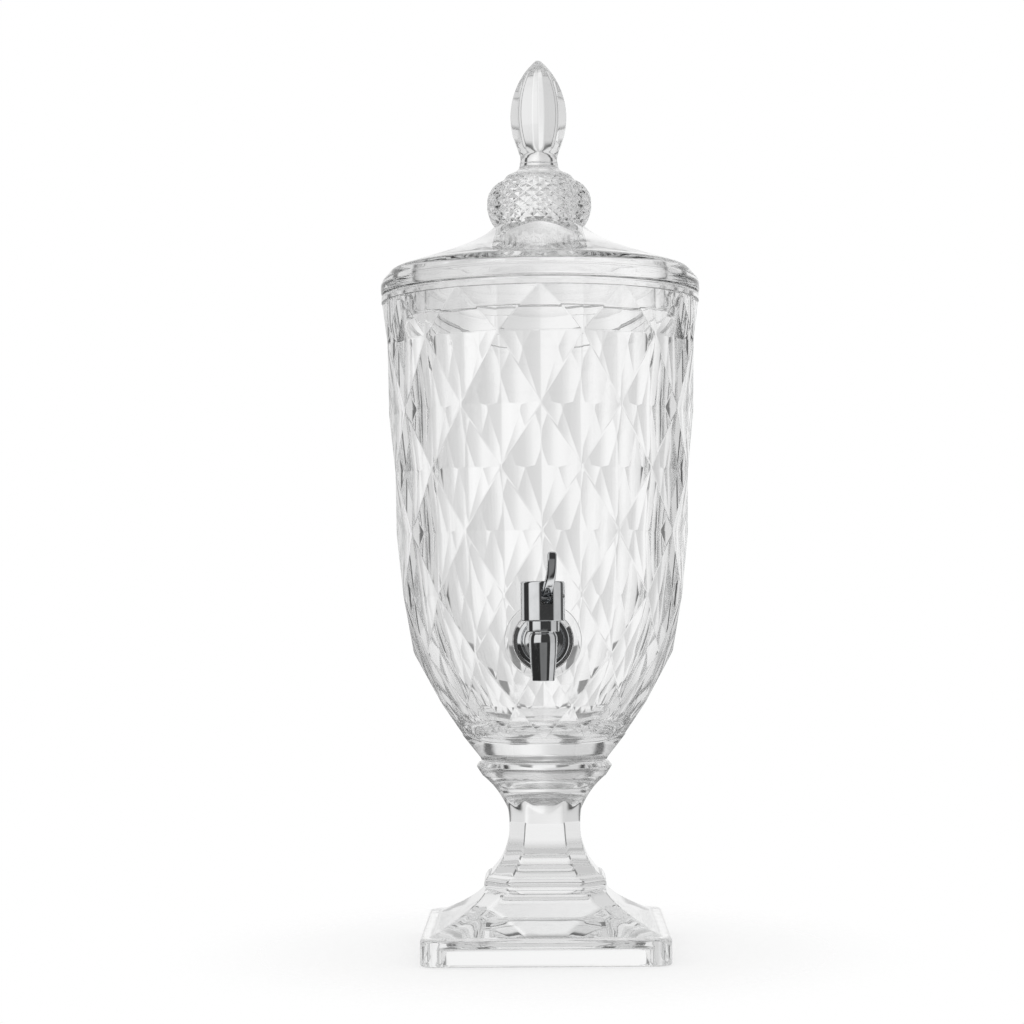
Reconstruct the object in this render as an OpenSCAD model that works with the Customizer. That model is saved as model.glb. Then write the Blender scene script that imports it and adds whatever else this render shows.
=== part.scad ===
// Glass beverage dispenser: a diamond-cut jar on a square pedestal, a lift-off lid and a chromed lever tap.
// The table is Z = 0, the jar's axis is X = Y = 0 and the tap faces -Y.

/* [Pedestal] */
// Width of the square plinth
plinth_w = 135; // [120:1:160]
// Thickness of the plinth
plinth_t = 14.5; // [13:0.5:18]
// Corner radius of the plinth, in plan
plinth_corner_r = 8; // [3:0.5:14]
// Ledge of the plinth outside the flared pyramid
plinth_ledge = 5.5; // [3:0.5:9]
// Width of the edge that stands on the table
foot_edge_w = 9; // [6:0.5:14]
// Depth of the recess under the plinth
foot_recess = 9; // [4:0.5:10]
// Height of the whole pedestal
pedestal_h = 105; // [98:1:125]
// Height of the flared pyramid's top above the table
pyramid_z = 34; // [30:0.5:38]
// Width of the bead ring across its flats
bead_w = 67.6; // [60:0.2:74]
// Height of the bead ring
bead_h = 9; // [6:0.5:11]
// Height of the stem's waist above the table
waist_z = 70; // [62:0.5:76]
// Width of the stem at its waist, across the flats
waist_w = 39.4; // [34:0.2:46]
// Diameter of the round collar under the jar
collar_d = 76; // [72:0.5:84]
// Thickness of the collar
collar_t = 8; // [6:0.5:11]
// Height of the round cup between the stem and the collar
cup_h = 21; // [17:0.5:24]

/* [Jar] */
// Height of the jar from the pedestal to its rim
jar_h = 261; // [235:1:300]
// Outside diameter of the rim
rim_d = 179; // [170:1:200]
// Outside diameter where the bowl begins
belly_d = 161; // [152:1:170]
// Height of the bowl above the pedestal
bowl_h = 100; // [90:1:115]
// Diameter of the plain neck on the pedestal
neck_d = 71; // [62:0.5:76]
// Thickness of the wall
wall_t = 6.5; // [5:0.1:8]
// Thickness of the solid bottom
bottom_t = 17; // [13:0.5:22]
// Height of the plain band between the neck and the pattern
base_band_h = 14; // [11:0.5:18]
// Height of the plain band at the rim
rim_band_h = 3; // [2:0.5:6]
// Lozenges around the jar
lozenges = 12; // [8:1:18]
// Depth of a lozenge's middle below its corners
relief = 3.6; // [2.4:0.1:4.2]

/* [Tap boss on the jar] */
// Height of the tap's shank above the pedestal
tap_h = 68.4; // [62:0.2:80]
// How far the boss's flat face stands out of the wall at the shank
boss_proud = 1; // [0.5:0.1:3]
// Diameter of the boss
boss_d = 41; // [37:0.5:46]
// Thickness of the glass at the boss
boss_t = 11.5; // [10:0.5:14]
// Diameter of the hole through the boss
boss_hole_d = 16; // [15.4:0.1:18]

/* [Lid] */
// Height of the lid from the rim to the knop's seat
lid_h = 39; // [34:0.5:48]
// How far the brim stands out past the rim
brim_over = 0.3; // [0:0.1:2]
// Height of the brim's upright edge
brim_t = 7.5; // [5:0.5:10]
// Width of the brim's chamfer
brim_chamfer_w = 6; // [3:0.5:9]
// Height of the brim's chamfer
brim_chamfer_h = 7; // [4:0.5:9]
// Thickness of the lid's dome
dome_t = 7; // [5:0.5:9]
// Gap between the locating ring and the jar
ring_gap = 5.5; // [3:0.5:8]
// Drop of the locating ring below the rim
ring_drop = 14; // [8:0.5:20]
// Wall of the locating ring
ring_t = 4.5; // [3:0.5:7]

/* [Knop and finial] */
// Diameter of the knop
knop_d = 59.2; // [55:0.2:66]
// Diameter of the knop's seat on the lid
knop_seat_d = 50; // [44:0.5:54]
// Height of the cut part of the knop
knop_cut_h = 26.5; // [22:0.5:32]
// Height of the plain neck above the cut part
knop_neck_h = 9.5; // [7:0.5:13]
// Diameter of the shoulder where the cut part ends
knop_shoulder_d = 41; // [36:0.5:46]
// Diameter of the lid's hollow where it enters the knop
knop_well_d = 21; // [16:0.5:26]
// Height of that hollow inside the knop
knop_well_h = 10; // [6:0.5:16]
// Lozenges around the knop
knop_lozenges = 24; // [16:1:30]
// Depth of a knop lozenge's middle
knop_relief = 1.1; // [0.3:0.1:1.5]
// Height of the finial above the knop
finial_h = 59; // [50:0.5:72]
// Diameter of the bud
bud_d = 33.2; // [30:0.2:40]
// Height of the bud's widest place above the finial's foot
bud_wide_h = 26; // [22:0.5:32]
// Diameter of the finial's neck
finial_neck_d = 20.8; // [18:0.2:24]
// Panels around the bud
bud_panels = 10; // [6:1:12]

/* [Tap body] */
// Distance from the flange's back to the valve chamber's axis
tap_reach = 18.5; // [16:0.5:24]
// Diameter of the flange
flange_d = 28; // [25:0.5:32]
// Thickness of the flange at its edge
flange_edge_t = 1.6; // [1:0.1:2.5]
// Diameter of the tube between the flange and the chamber
tube_d = 10; // [8.6:0.2:10.4]
// Diameter of the shank over its thread
shank_d = 14.6; // [13.6:0.1:15.2]
// Depth of the thread
thread_depth = 0.7; // [0.4:0.1:1]
// Pitch of the thread
thread_pitch = 2; // [1.5:0.1:3]
// Length of shank left beyond the nut
shank_spare = 5; // [2:0.5:9]
// Bore of the shank
inlet_d = 6.8; // [5:0.1:7.2]
// Outside diameter of the valve chamber
chamber_d = 15.2; // [14.4:0.1:17]
// Bore of the valve chamber
chamber_bore_d = 10.4; // [9.6:0.1:10.8]
// Drop of the spout's mouth below the shank
spout_drop = 20.4; // [17:0.2:26]
// Outside diameter of the spout's mouth
spout_d = 11.6; // [10.8:0.1:13]
// Bore of the spout
outlet_d = 7.4; // [6:0.1:7.6]
// Drop of the valve seat below the shank
seat_drop = 9; // [8:0.2:11]
// Height of the collar's underside above the shank
tap_collar_z = 5.2; // [4.6:0.1:6.5]
// Diameter of the collar under the bonnet
tap_collar_d = 17.2; // [16.6:0.1:19]
// Height of that collar
tap_collar_h = 5.7; // [4:0.1:7]
// Height of the threaded neck inside the bonnet
neck_thread_h = 4.6; // [3:0.1:5.5]
// Depth of the groove between the chamber and the collar
groove_depth = 1.1; // [0.4:0.1:1.3]

/* [Bonnet and lever] */
// Diameter of the bonnet
bonnet_d = 23.2; // [22.4:0.1:26]
// Height of the bonnet
bonnet_h = 20.7; // [20:0.1:24]
// Rounding of the bonnet's top edge
bonnet_round = 1.4; // [0.5:0.1:2]
// Height of the gland plate's underside above the bonnet's foot
gland_h = 6.9; // [6:0.1:7.5]
// Thickness of the gland plate
gland_t = 1.8; // [1.2:0.1:2]
// Depth of the groove below the lever's slot
slot_groove = 0.8; // [0.4:0.1:1.2]
// Turn of the bonnet and lever about the tap's axis, to the right
lever_turn = 12; // [0:1:30]
// Width of the lever
lever_w = 5.2; // [4.8:0.1:5.6]
// Distance of the pivot in front of the tap's axis
pivot_out = 6.1; // [5.8:0.1:6.6]
// Diameter of the pivot pin
pin_d = 2.4; // [2:0.1:2.6]
// Diameter of the lever's hub
hub_d = 5.8; // [5:0.1:6]
// Distance of the lever's tip in front of the tap's axis
tip_out = 23.5; // [18:0.5:28]
// Height of the lever's tip above the bonnet
tip_h = 15; // [12:0.5:24]
// Thickness of the lever at its hub
lever_root_t = 4.6; // [4:0.1:5.2]
// Thickness of the lever at its tip
lever_tip_t = 3.4; // [2.6:0.1:4]
// Full swing of the lever in degrees
lever_swing = 45; // [35:1:48]
// Diameter of the fork's rounded end
fork_d = 2.6; // [2.2:0.1:2.8]
// Thickness of the fork's arms
fork_t = 1.6; // [1.2:0.1:1.8]

/* [Plunger] */
// Diameter of the stem through the gland
stem_d = 2.2; // [1.8:0.1:2.4]
// Diameter of the stem inside the seat cup
stem_foot_d = 3.4; // [3:0.1:3.8]
// Diameter of the stem's spring collar
stem_collar_d = 8.6; // [7.8:0.1:9.2]
// Thickness of the spring collar
stem_collar_t = 1.2; // [0.8:0.1:1.6]
// Diameter of the lift collar above the fork
lift_d = 4; // [3.8:0.1:4.4]
// Thickness of the lift collar
lift_t = 1.6; // [1.2:0.1:2]
// Diameter of the seat cup's plug
plug_d = 8.6; // [8:0.1:9]
// Height of the plug
plug_h = 3.2; // [2.4:0.1:4]
// Diameter of the seat cup's waist
cup_waist_d = 5.8; // [5.4:0.1:6.4]
// Height of the cup's sealing skirt
skirt_h = 2; // [1.5:0.1:2.5]
// Diameter of the spring's wire
wire_d = 0.8; // [0.6:0.05:0.9]
// Mean diameter of the spring
spring_d = 6.4; // [5.6:0.1:7]
// Curls of the spring
spring_turns = 5; // [4:1:5]

/* [Washers and nut] */
// Diameter of the outer washer
outer_washer_d = 32.6; // [30:0.2:36]
// Thickness of the silicone washers
washer_t = 2; // [1.5:0.1:3]
// Diameter of the inner washer
inner_washer_d = 27; // [24:0.5:29]
// Thickness of the slip washer
slip_t = 1; // [0.6:0.1:1.6]
// Diameter of the slip washer
slip_d = 25; // [22:0.5:27]
// Width of the nut across its flats
nut_w = 22; // [20:0.5:24]
// Thickness of the nut
nut_t = 7; // [5:0.5:9]

/* [Clearances] */
// Room round the shank in the washers
washer_clear = 0.3; // [0.1:0.05:0.5]
// Room in the threads
thread_clear = 0.1; // [0.05:0.01:0.2]
// Room round the stem in its gland, and the seat cup's skirt in the chamber
slide_clear = 0.08; // [0.03:0.01:0.1]
// Room round the pin in the lever
pivot_clear = 0.05; // [0.02:0.01:0.1]
// Room round parts that are pushed together
press_clear = 0.02; // [0.01:0.005:0.04]
// Room on each side of the lever in its slot
slot_clear = 0.4; // [0.3:0.05:0.6]
// Gap between the fork and the lift collar at rest
lift_gap = 0.45; // [0.35:0.05:0.6]
// Room under the fork at rest
fork_clear = 0.35; // [0.3:0.05:0.6]
// Room round the stem in the fork
fork_slot_clear = 0.3; // [0.2:0.05:0.4]
// Room at each end of the spring
spring_clear = 0.1; // [0.05:0.05:0.3]

/* [Hidden] */
$fn = 96;
// Overlap of pieces that are fused into one solid
sink = 1;
// Overshoot of cutting tools
over = 1;
glass = [0.93, 0.95, 0.95, 0.45];
chrome = [0.75, 0.76, 0.78];
silicone = [0.90, 0.91, 0.92];

// Heights of the main joints
collar_z = pedestal_h - collar_t;
cup_z = collar_z - cup_h;
rim_z = pedestal_h + jar_h;
bowl_z = pedestal_h + bowl_h;
tap_z = pedestal_h + tap_h;
knop_z = rim_z + lid_h;
finial_z = knop_z + knop_cut_h + knop_neck_h;

// Curves
function mix(a, b, t) = a + (b - a) * t;
function bezier(p, t) =
    pow(1 - t, 3) * p[0] + 3 * pow(1 - t, 2) * t * p[1] + 3 * (1 - t) * t * t * p[2] + pow(t, 3) * p[3];
function bezier_path(p, steps) = [for (i = [0:steps]) bezier(p, i / steps)];
// Parameter of a falling curve at height z, found by halving
function bezier_at(p, z, low = 0, high = 1, left = 24) =
    let (mid = (low + high) / 2)
    left == 0 ? mid
    : bezier(p, mid)[1] > z ? bezier_at(p, z, mid, high, left - 1)
    : bezier_at(p, z, low, mid, left - 1);

// Outside of the jar as a radius over its height: a straight taper above a curved bowl
taper = (rim_d - belly_d) / 2 / (rim_z - bowl_z);
neck_r = neck_d / 2;
neck_top_z = pedestal_h + 2;
// How far the bowl runs on along the taper and along the neck's flare before it turns
bowl_ease = 46;
flare_ease = [23, 29];
bowl_curve = [
    [belly_d / 2, bowl_z],
    [belly_d / 2 - taper * bowl_ease, bowl_z - bowl_ease],
    [neck_r, neck_top_z] + flare_ease,
    [neck_r, neck_top_z]
];
function jar_r(z) =
    z >= bowl_z ? belly_d / 2 + taper * (z - bowl_z) : bezier(bowl_curve, bezier_at(bowl_curve, z))[0];
// Inside of the wall at height z, measured square to the wall
function jar_slope(z) = (jar_r(z + 0.5) - jar_r(z - 0.5));
function jar_inner_r(z) = jar_r(z) - wall_t * sqrt(1 + pow(jar_slope(z), 2));

// Rows of the pattern, as shares of the way from the plain base band up to the rim band
pattern_low_z = pedestal_h + base_band_h;
pattern_top_z = rim_z - rim_band_h;
row_shares = [0, 0.077, 0.191, 0.322, 0.463, 0.602, 0.739, 0.897, 1];
rows = len(row_shares) - 1;
function row_z(i) = mix(pattern_low_z, pattern_top_z, row_shares[i]);

// Tap: its frame has the valve chamber's axis at X = Y = 0 and the shank's axis at Z = 0
boss_y = jar_r(tap_z) + boss_proud;
inner_boss_y = boss_y - boss_t;
flange_y = boss_y + washer_t;
tap_y = flange_y + tap_reach;
shank_r = shank_d / 2;
shank_end = tap_y - inner_boss_y + washer_t + slip_t + nut_t + shank_spare;
bonnet_z = tap_collar_z + tap_collar_h;
bonnet_r = bonnet_d / 2;
thread_neck_r = tap_collar_d / 2 - 0.6;
neck_end_z = bonnet_z + neck_thread_h;
gland_z = bonnet_z + gland_h;
gland_top_z = gland_z + gland_t;

// Lever: the fork swings evenly below and above the pivot's level
fork_reach = pivot_out / cos(lever_swing / 2);
fork_fall = fork_reach * sin(lever_swing / 2);
pivot_z = gland_top_z + fork_clear + fork_d / 2 + fork_fall;
tip_z = bonnet_z + bonnet_h + tip_h;
lift_z = pivot_z - fork_fall + fork_d / 2 + lift_gap;
slot_w = lever_w + 2 * slot_clear;
slot_back = fork_reach - pivot_out + fork_d + 1.2;
// The pivot pin goes in from the right and stops inside the bonnet's left cheek
pin_left = slot_w / 2 + 4;
pin_right = sqrt(pow(bonnet_r, 2) - pow(pivot_out, 2)) - 0.3;

// Plunger
stem_top_z = lift_z + lift_t;
cup_low_z = -seat_drop;
skirt_z = inlet_d / 2 + 1;
cup_top_z = skirt_z + skirt_h;
spring_low_z = cup_top_z + stem_collar_t;
barb_z = cup_low_z + 1.8;
barb_h = 1.2;
barb_r = stem_foot_d / 2 + 0.6;
skirt_r = chamber_bore_d / 2 - slide_clear;

// A solid between rings of points, each ring turning from left to right as seen from outside.
// cut is 0 or 1: the parity of the corner from which the first cell is split. Plain rings use one split
// throughout.
module ring_solid(rings, alternate = false, cut = 0) {
    n = len(rings[0]);
    levels = len(rings);
    function at(i, k) = i * n + (k % n);
    function rising(i, k) = !alternate || (i + k + cut) % 2 == 0;
    sides = [
        for (i = [0:levels - 2])
            for (k = [0:n - 1])
                let (a = at(i, k), b = at(i, k + 1), c = at(i + 1, k + 1), d = at(i + 1, k))
                for (face = rising(i, k) ? [[a, d, c], [a, c, b]] : [[a, d, b], [b, d, c]]) face
    ];
    low = [for (k = [0:n - 1]) k];
    high = [for (k = [n - 1:-1:0]) (levels - 1) * n + k];
    polyhedron(points = [for (ring = rings) for (p = ring) p], faces = concat([low, high], sides));
}

// A ring of points about Z whose first point faces -Y; every other point lies lower by dip
function cut_ring(r, z, corners, dip, first) = [
    for (k = [0:2 * corners - 1])
        let (angle = 180 * k / corners - 90, reach = (k + first) % 2 == 0 ? r : r - dip)
        [reach * cos(angle), reach * sin(angle), z]
];

// A regular polygon about Z with one corner towards -Y
function panel_ring(r, z, corners) = [
    for (k = [0:corners - 1])
        let (angle = 360 * k / corners - 90)
        [r * cos(angle), r * sin(angle), z]
];

// An octagon about Z: a square of half width w with its corners cut by legs of length leg
function cut_square(w, leg, z) =
    let (a = w - leg)
    [[a, -w, z], [w, -a, z], [w, a, z], [a, w, z], [-a, w, z], [-w, a, z], [-w, -a, z], [-a, -w, z]];

module rounded_square(w, r) {
    square([w - 2 * r, w], center = true);
    square([w, w - 2 * r], center = true);
    for (x = [-1, 1])
        for (y = [-1, 1])
            translate([x * (w / 2 - r), y * (w / 2 - r)]) circle(r);
}

module at_tap() {
    translate([0, -tap_y, tap_z]) children();
}

module at_lever() {
    at_tap() rotate([0, 0, lever_turn]) children();
}

// A turned shape about the shank's axis: its Z runs from the valve chamber into the jar
module along_shank() {
    at_tap() rotate([-90, 0, 0]) children();
}

// A plate of width w standing in the lever's plane: its X is the distance in front of the tap's axis
module lever_plate(w) {
    rotate([0, 0, -90]) rotate([90, 0, 0]) linear_extrude(w, center = true) children();
}

module tube(outer_r, inner_r, h) {
    difference() {
        cylinder(h = h, r = outer_r);
        translate([0, 0, -over]) cylinder(h = h + 2 * over, r = inner_r);
    }
}

// Jar
module jar_cavity() {
    floor_z = pedestal_h + bottom_t;
    floor_round = 9;
    turn_z = floor_z + floor_round;
    turn_r = jar_inner_r(turn_z);
    bowl_steps = 10;
    floor_curve = [
        [0, floor_z],
        [turn_r * 0.55, floor_z],
        [turn_r - floor_round * 0.8, floor_z + floor_round * 0.2],
        [turn_r, turn_z]
    ];
    wall_points = [
        for (i = [1:bowl_steps]) let (z = mix(turn_z, bowl_z, i / bowl_steps)) [jar_inner_r(z), z]
    ];
    top_z = rim_z + over;
    rotate_extrude()
        polygon(concat(
            bezier_path(floor_curve, 6),
            wall_points,
            [[jar_inner_r(rim_z), rim_z], [jar_inner_r(rim_z), top_z], [0, top_z]]
        ));
}

module jar_outside() {
    pattern = [
        for (i = [0:rows])
            let (z = row_z(i), end = i == 0 || i == rows)
            cut_ring(jar_r(z), z, lozenges, end ? relief * 0.3 : relief, i % 2)
    ];
    ring_solid(pattern, alternate = true);
    // Plain rim and plain base band, each a little proud of the pattern's end
    proud = 0.2;
    translate([0, 0, pattern_top_z - sink])
        cylinder(h = rim_band_h + sink, r = rim_d / 2);
    band_z = pattern_low_z + sink;
    band_steps = 6;
    band_points = [
        for (i = [0:band_steps])
            let (z = mix(neck_top_z, band_z, i / band_steps)) [jar_r(z) + proud, z]
    ];
    rotate_extrude()
        polygon(concat(
            [[0, pedestal_h], [neck_r - 1.5, pedestal_h], [neck_r - 0.3, pedestal_h + 0.8]],
            band_points,
            [[0, band_z]]
        ));
}

module boss_stub(r, from_y, to_y) {
    translate([0, -from_y, tap_z]) rotate([90, 0, 0]) cylinder(h = to_y - from_y, r = r);
}

module vessel() {
    pad_r = inner_washer_d / 2 + 1.5;
    boss_r = boss_d / 2;
    far_out = 15;
    color(glass)
        difference() {
            union() {
                difference() {
                    union() {
                        jar_outside();
                        boss_stub(boss_r, inner_boss_y, boss_y);
                    }
                    jar_cavity();
                    boss_stub(boss_r, boss_y, boss_y + far_out);
                }
                boss_stub(pad_r, inner_boss_y, inner_boss_y + boss_t / 2 + sink);
            }
            boss_stub(pad_r, inner_boss_y - far_out, inner_boss_y);
            boss_stub(boss_hole_d / 2, inner_boss_y - over, boss_y + over);
        }
}

// Pedestal
module pedestal_stem() {
    pyramid_w = plinth_w / 2 - plinth_ledge;
    bead_r = bead_w / 2;
    bead_foot = bead_r - 2.6;
    bead_top_z = pyramid_z + bead_h;
    waist_r = waist_w / 2;
    // The stem's flat sides end inside the round cup
    stem_top_r = waist_r + 1.9;
    stem_top_z = cup_z + cup_h * 0.47;
    corner_leg = 4.3;
    pyramid = [
        [pyramid_w, plinth_t],
        [mix(pyramid_w, bead_r, 0.45), mix(plinth_t, pyramid_z, 0.3)],
        [bead_r + 3, mix(plinth_t, pyramid_z, 0.72)],
        [bead_r, pyramid_z]
    ];
    lower = [
        [bead_foot - 1, bead_top_z],
        [mix(waist_r, bead_foot, 0.35), bead_top_z + 7],
        [waist_r, waist_z - 12],
        [waist_r, waist_z]
    ];
    upper = [
        [waist_r, waist_z],
        [waist_r, mix(waist_z, stem_top_z, 0.4)],
        [mix(waist_r, stem_top_r, 0.5), mix(waist_z, stem_top_z, 0.7)],
        [stem_top_r, stem_top_z]
    ];
    function taper_leg(path, first, last) = [
        for (i = [0:len(path) - 1])
            let (p = path[i], share = mix(first, last, i / (len(path) - 1))) [p[0], p[0] * share, p[1]]
    ];
    bead_steps = 6;
    bead = [
        for (i = [1:bead_steps - 1])
            let (t = i / bead_steps, w = bead_foot + (bead_r - bead_foot) * sin(180 * t))
            [w, w * 0.38, mix(pyramid_z, bead_top_z, t)]
    ];
    sections = concat(
        [[pyramid_w, corner_leg, plinth_t - sink]],
        taper_leg(bezier_path(pyramid, 8), corner_leg / pyramid_w, 0.3),
        [[bead_foot, bead_foot * 0.38, pyramid_z + 0.4]],
        bead,
        taper_leg(bezier_path(lower, 8), 0.4, 0.445),
        taper_leg([for (i = [1:8]) bezier(upper, i / 8)], 0.46, 0.5)
    );
    ring_solid([for (s = sections) cut_square(s[0], s[1], s[2])]);
}

// The round cup and the collar on it, turned in one: the cup's foot lies inside the stem
module pedestal_collar() {
    collar_r = collar_d / 2;
    edge_z = pedestal_h - 2.6;
    cup_foot_r = waist_w / 2 - 0.2;
    flare_r = collar_r - 3.4;
    flare = [
        [cup_foot_r, cup_z],
        [cup_foot_r + 2, mix(cup_z, collar_z, 0.22)],
        [mix(cup_foot_r, flare_r, 0.4), mix(cup_z, collar_z, 0.67)],
        [flare_r, collar_z]
    ];
    rotate_extrude()
        polygon(concat(
            [[0, cup_z]],
            bezier_path(flare, 8),
            [[collar_r, edge_z], [collar_r - 2, pedestal_h], [0, pedestal_h]]
        ));
}

module pedestal() {
    recess_w = plinth_w - 2 * foot_edge_w;
    recess_corner_r = max(2, plinth_corner_r - 2);
    color(glass)
        difference() {
            union() {
                linear_extrude(plinth_t) rounded_square(plinth_w, plinth_corner_r);
                pedestal_stem();
                pedestal_collar();
            }
            translate([0, 0, -over])
                linear_extrude(foot_recess + over) rounded_square(recess_w, recess_corner_r);
        }
}

// Lid
module lid_cover() {
    brim_r = rim_d / 2 + brim_over;
    brim_z = rim_z + brim_t;
    shoulder_r = brim_r - brim_chamfer_w;
    shoulder_z = brim_z + brim_chamfer_h;
    seat_r = knop_seat_d / 2 + 1;
    ring_r = jar_inner_r(rim_z) - ring_gap;
    ring_inner_r = ring_r - ring_t;
    ring_low_z = rim_z - ring_drop;
    dome = [
        [shoulder_r, shoulder_z],
        [mix(shoulder_r, seat_r, 0.32), mix(shoulder_z, knop_z, 0.28)],
        [seat_r + 10, mix(shoulder_z, knop_z, 0.58)],
        [seat_r, knop_z]
    ];
    hollow = [
        [ring_inner_r, shoulder_z - dome_t],
        [mix(shoulder_r, seat_r, 0.42), mix(shoulder_z, knop_z, 0.22) - dome_t],
        [seat_r - 6, mix(shoulder_z, knop_z, 0.52) - dome_t],
        [knop_well_d / 2, knop_z]
    ];
    color(glass)
        rotate_extrude()
            polygon(concat(
                [[ring_r, rim_z], [brim_r - 0.8, rim_z], [brim_r, rim_z + 0.8], [brim_r, brim_z - 0.8],
                 [brim_r - 0.5, brim_z]],
                bezier_path(dome, 10),
                [for (i = [10:-1:0]) bezier(hollow, i / 10)],
                [[ring_inner_r, ring_low_z + 1], [ring_inner_r + 1, ring_low_z], [ring_r - 1, ring_low_z],
                 [ring_r, ring_low_z + 1]]
            ));
}

module lid_knop() {
    seat_r = knop_seat_d / 2;
    knop_r = knop_d / 2;
    shoulder_r = knop_shoulder_d / 2;
    wide_z = knop_z + knop_cut_h / 2;
    cut_z = knop_z + knop_cut_h;
    lower_rows = 5;
    upper_rows = 6;
    lower = [
        [seat_r, knop_z],
        [mix(seat_r, knop_r, 0.7), mix(knop_z, wide_z, 0.35)],
        [knop_r, mix(knop_z, wide_z, 0.62)],
        [knop_r, wide_z]
    ];
    upper = [
        [knop_r, wide_z],
        [knop_r, mix(wide_z, cut_z, 0.48)],
        [mix(shoulder_r, knop_r, 0.72), mix(wide_z, cut_z, 0.8)],
        [shoulder_r, cut_z]
    ];
    path = concat(bezier_path(lower, lower_rows), [for (i = [1:upper_rows]) bezier(upper, i / upper_rows)]);
    last = len(path) - 1;
    neck_r = finial_neck_d / 2 + 0.4;
    well_r = knop_well_d / 2;
    well_steps = 6;
    well_points = [
        for (i = [0:well_steps])
            let (turn = 90 * i / well_steps) [well_r * cos(turn), knop_z + knop_well_h * sin(turn)]
    ];
    color(glass)
        difference() {
            union() {
                ring_solid([
                    for (i = [0:last])
                        let (end = i == 0 || i == last)
                        cut_ring(path[i][0], path[i][1], knop_lozenges, end ? 0 : knop_relief, i % 2)
                ], alternate = true);
                rotate_extrude()
                    polygon([
                        [0, cut_z - sink], [shoulder_r - 0.6, cut_z - sink], [shoulder_r - 0.6, cut_z + 0.6],
                        [shoulder_r - 2, mix(cut_z, finial_z, 0.3)],
                        [neck_r + 2.4, mix(cut_z, finial_z, 0.55)],
                        [neck_r + 0.5, mix(cut_z, finial_z, 0.75)], [neck_r, finial_z], [0, finial_z]
                    ]);
            }
            rotate_extrude()
                polygon(concat([[0, knop_z - over], [well_r, knop_z - over]], well_points));
        }
}

module lid_finial() {
    bud_r = bud_d / 2;
    neck_r = finial_neck_d / 2;
    wide_z = finial_z + bud_wide_h;
    tip_end_z = finial_z + finial_h;
    panel_z = finial_z + 5;
    tip_r = 1.4;
    // The panels' middles start a little proud of the neck
    lower = [
        [(neck_r + 0.2) / cos(180 / bud_panels), panel_z],
        [mix(neck_r, bud_r, 0.5), mix(panel_z, wide_z, 0.29)],
        [bud_r, mix(panel_z, wide_z, 0.58)],
        [bud_r, wide_z]
    ];
    upper = [
        [bud_r, wide_z],
        [bud_r, mix(wide_z, tip_end_z, 0.42)],
        [bud_r * 0.57, mix(wide_z, tip_end_z, 0.79)],
        [tip_r, tip_end_z]
    ];
    levels = 8;
    path = concat(bezier_path(lower, levels), [for (i = [1:levels]) bezier(upper, i / levels)]);
    color(glass)
        union() {
            ring_solid([for (p = path) panel_ring(p[0], p[1], bud_panels)]);
            rotate_extrude()
                polygon([
                    [0, finial_z], [neck_r + 0.4, finial_z], [neck_r + 0.4, finial_z + 0.8],
                    [neck_r, finial_z + 2], [neck_r, panel_z + sink], [0, panel_z + sink]
                ]);
        }
}

// Tap body: spout, chamber, collar and neck turned about one axis, and the shank turned about its own
module tap_body() {
    chamber_r = chamber_d / 2;
    groove_r = chamber_r - groove_depth;
    collar_r = tap_collar_d / 2;
    spout_r = spout_d / 2;
    tube_r = tube_d / 2;
    flange_r = flange_d / 2;
    root_r = shank_r - thread_depth;
    bullet = [
        [spout_r, -spout_drop],
        [mix(spout_r, chamber_r, 0.42), mix(-spout_drop, 0, 0.36)],
        [mix(spout_r, chamber_r, 0.8), mix(-spout_drop, 0, 0.7)],
        [chamber_r, 0]
    ];
    crown = [
        [chamber_r, 0],
        [chamber_r, tap_collar_z * 0.5],
        [mix(groove_r, chamber_r, 0.6), tap_collar_z - 0.9],
        [groove_r, tap_collar_z - 0.7]
    ];
    flange = [
        [tube_r, tap_reach - 6],
        [tube_r, tap_reach - 3.4],
        [mix(tube_r, flange_r, 0.45), tap_reach - flange_edge_t - 1],
        [flange_r, tap_reach - flange_edge_t]
    ];
    thread_start = tap_reach + washer_t;
    threads = floor((shank_end - thread_start - 1) / thread_pitch);
    thread_points = [
        for (i = [0:threads - 1])
            let (z = thread_start + i * thread_pitch)
            for (p = [[root_r, z], [shank_r, z + thread_pitch * 0.4], [shank_r, z + thread_pitch * 0.6]]) p
    ];
    // The tube starts inside the chamber's bore, and the two turned shapes have their seams apart
    tube_start = chamber_bore_d / 4;
    seam_turn = 37;
    color(chrome)
        difference() {
            union() {
                at_tap()
                    rotate([0, 0, -90 - seam_turn])
                        rotate_extrude()
                            polygon(concat(
                                [[0, -spout_drop]],
                                bezier_path(bullet, 6),
                                [for (i = [1:4]) bezier(crown, i / 4)],
                                [[groove_r, tap_collar_z], [collar_r, tap_collar_z], [collar_r, bonnet_z],
                                 [thread_neck_r, bonnet_z], [thread_neck_r, neck_end_z], [0, neck_end_z]]
                            ));
                along_shank()
                    rotate([0, 0, seam_turn])
                        rotate_extrude()
                            polygon(concat(
                                [[0, tube_start], [tube_r, tube_start]],
                                bezier_path(flange, 6),
                                [[flange_r, tap_reach], [root_r, tap_reach]],
                                thread_points,
                                [[root_r, thread_start + threads * thread_pitch], [root_r, shank_end],
                                 [0, shank_end]]
                            ));
            }
            at_tap() {
                translate([0, 0, -seat_drop]) cylinder(h = seat_drop + neck_end_z + over, d = chamber_bore_d);
                translate([0, 0, -spout_drop - over]) cylinder(h = spout_drop + over, d = outlet_d);
            }
            along_shank() translate([0, 0, tube_start]) cylinder(h = shank_end + over, d = inlet_d);
        }
}

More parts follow.
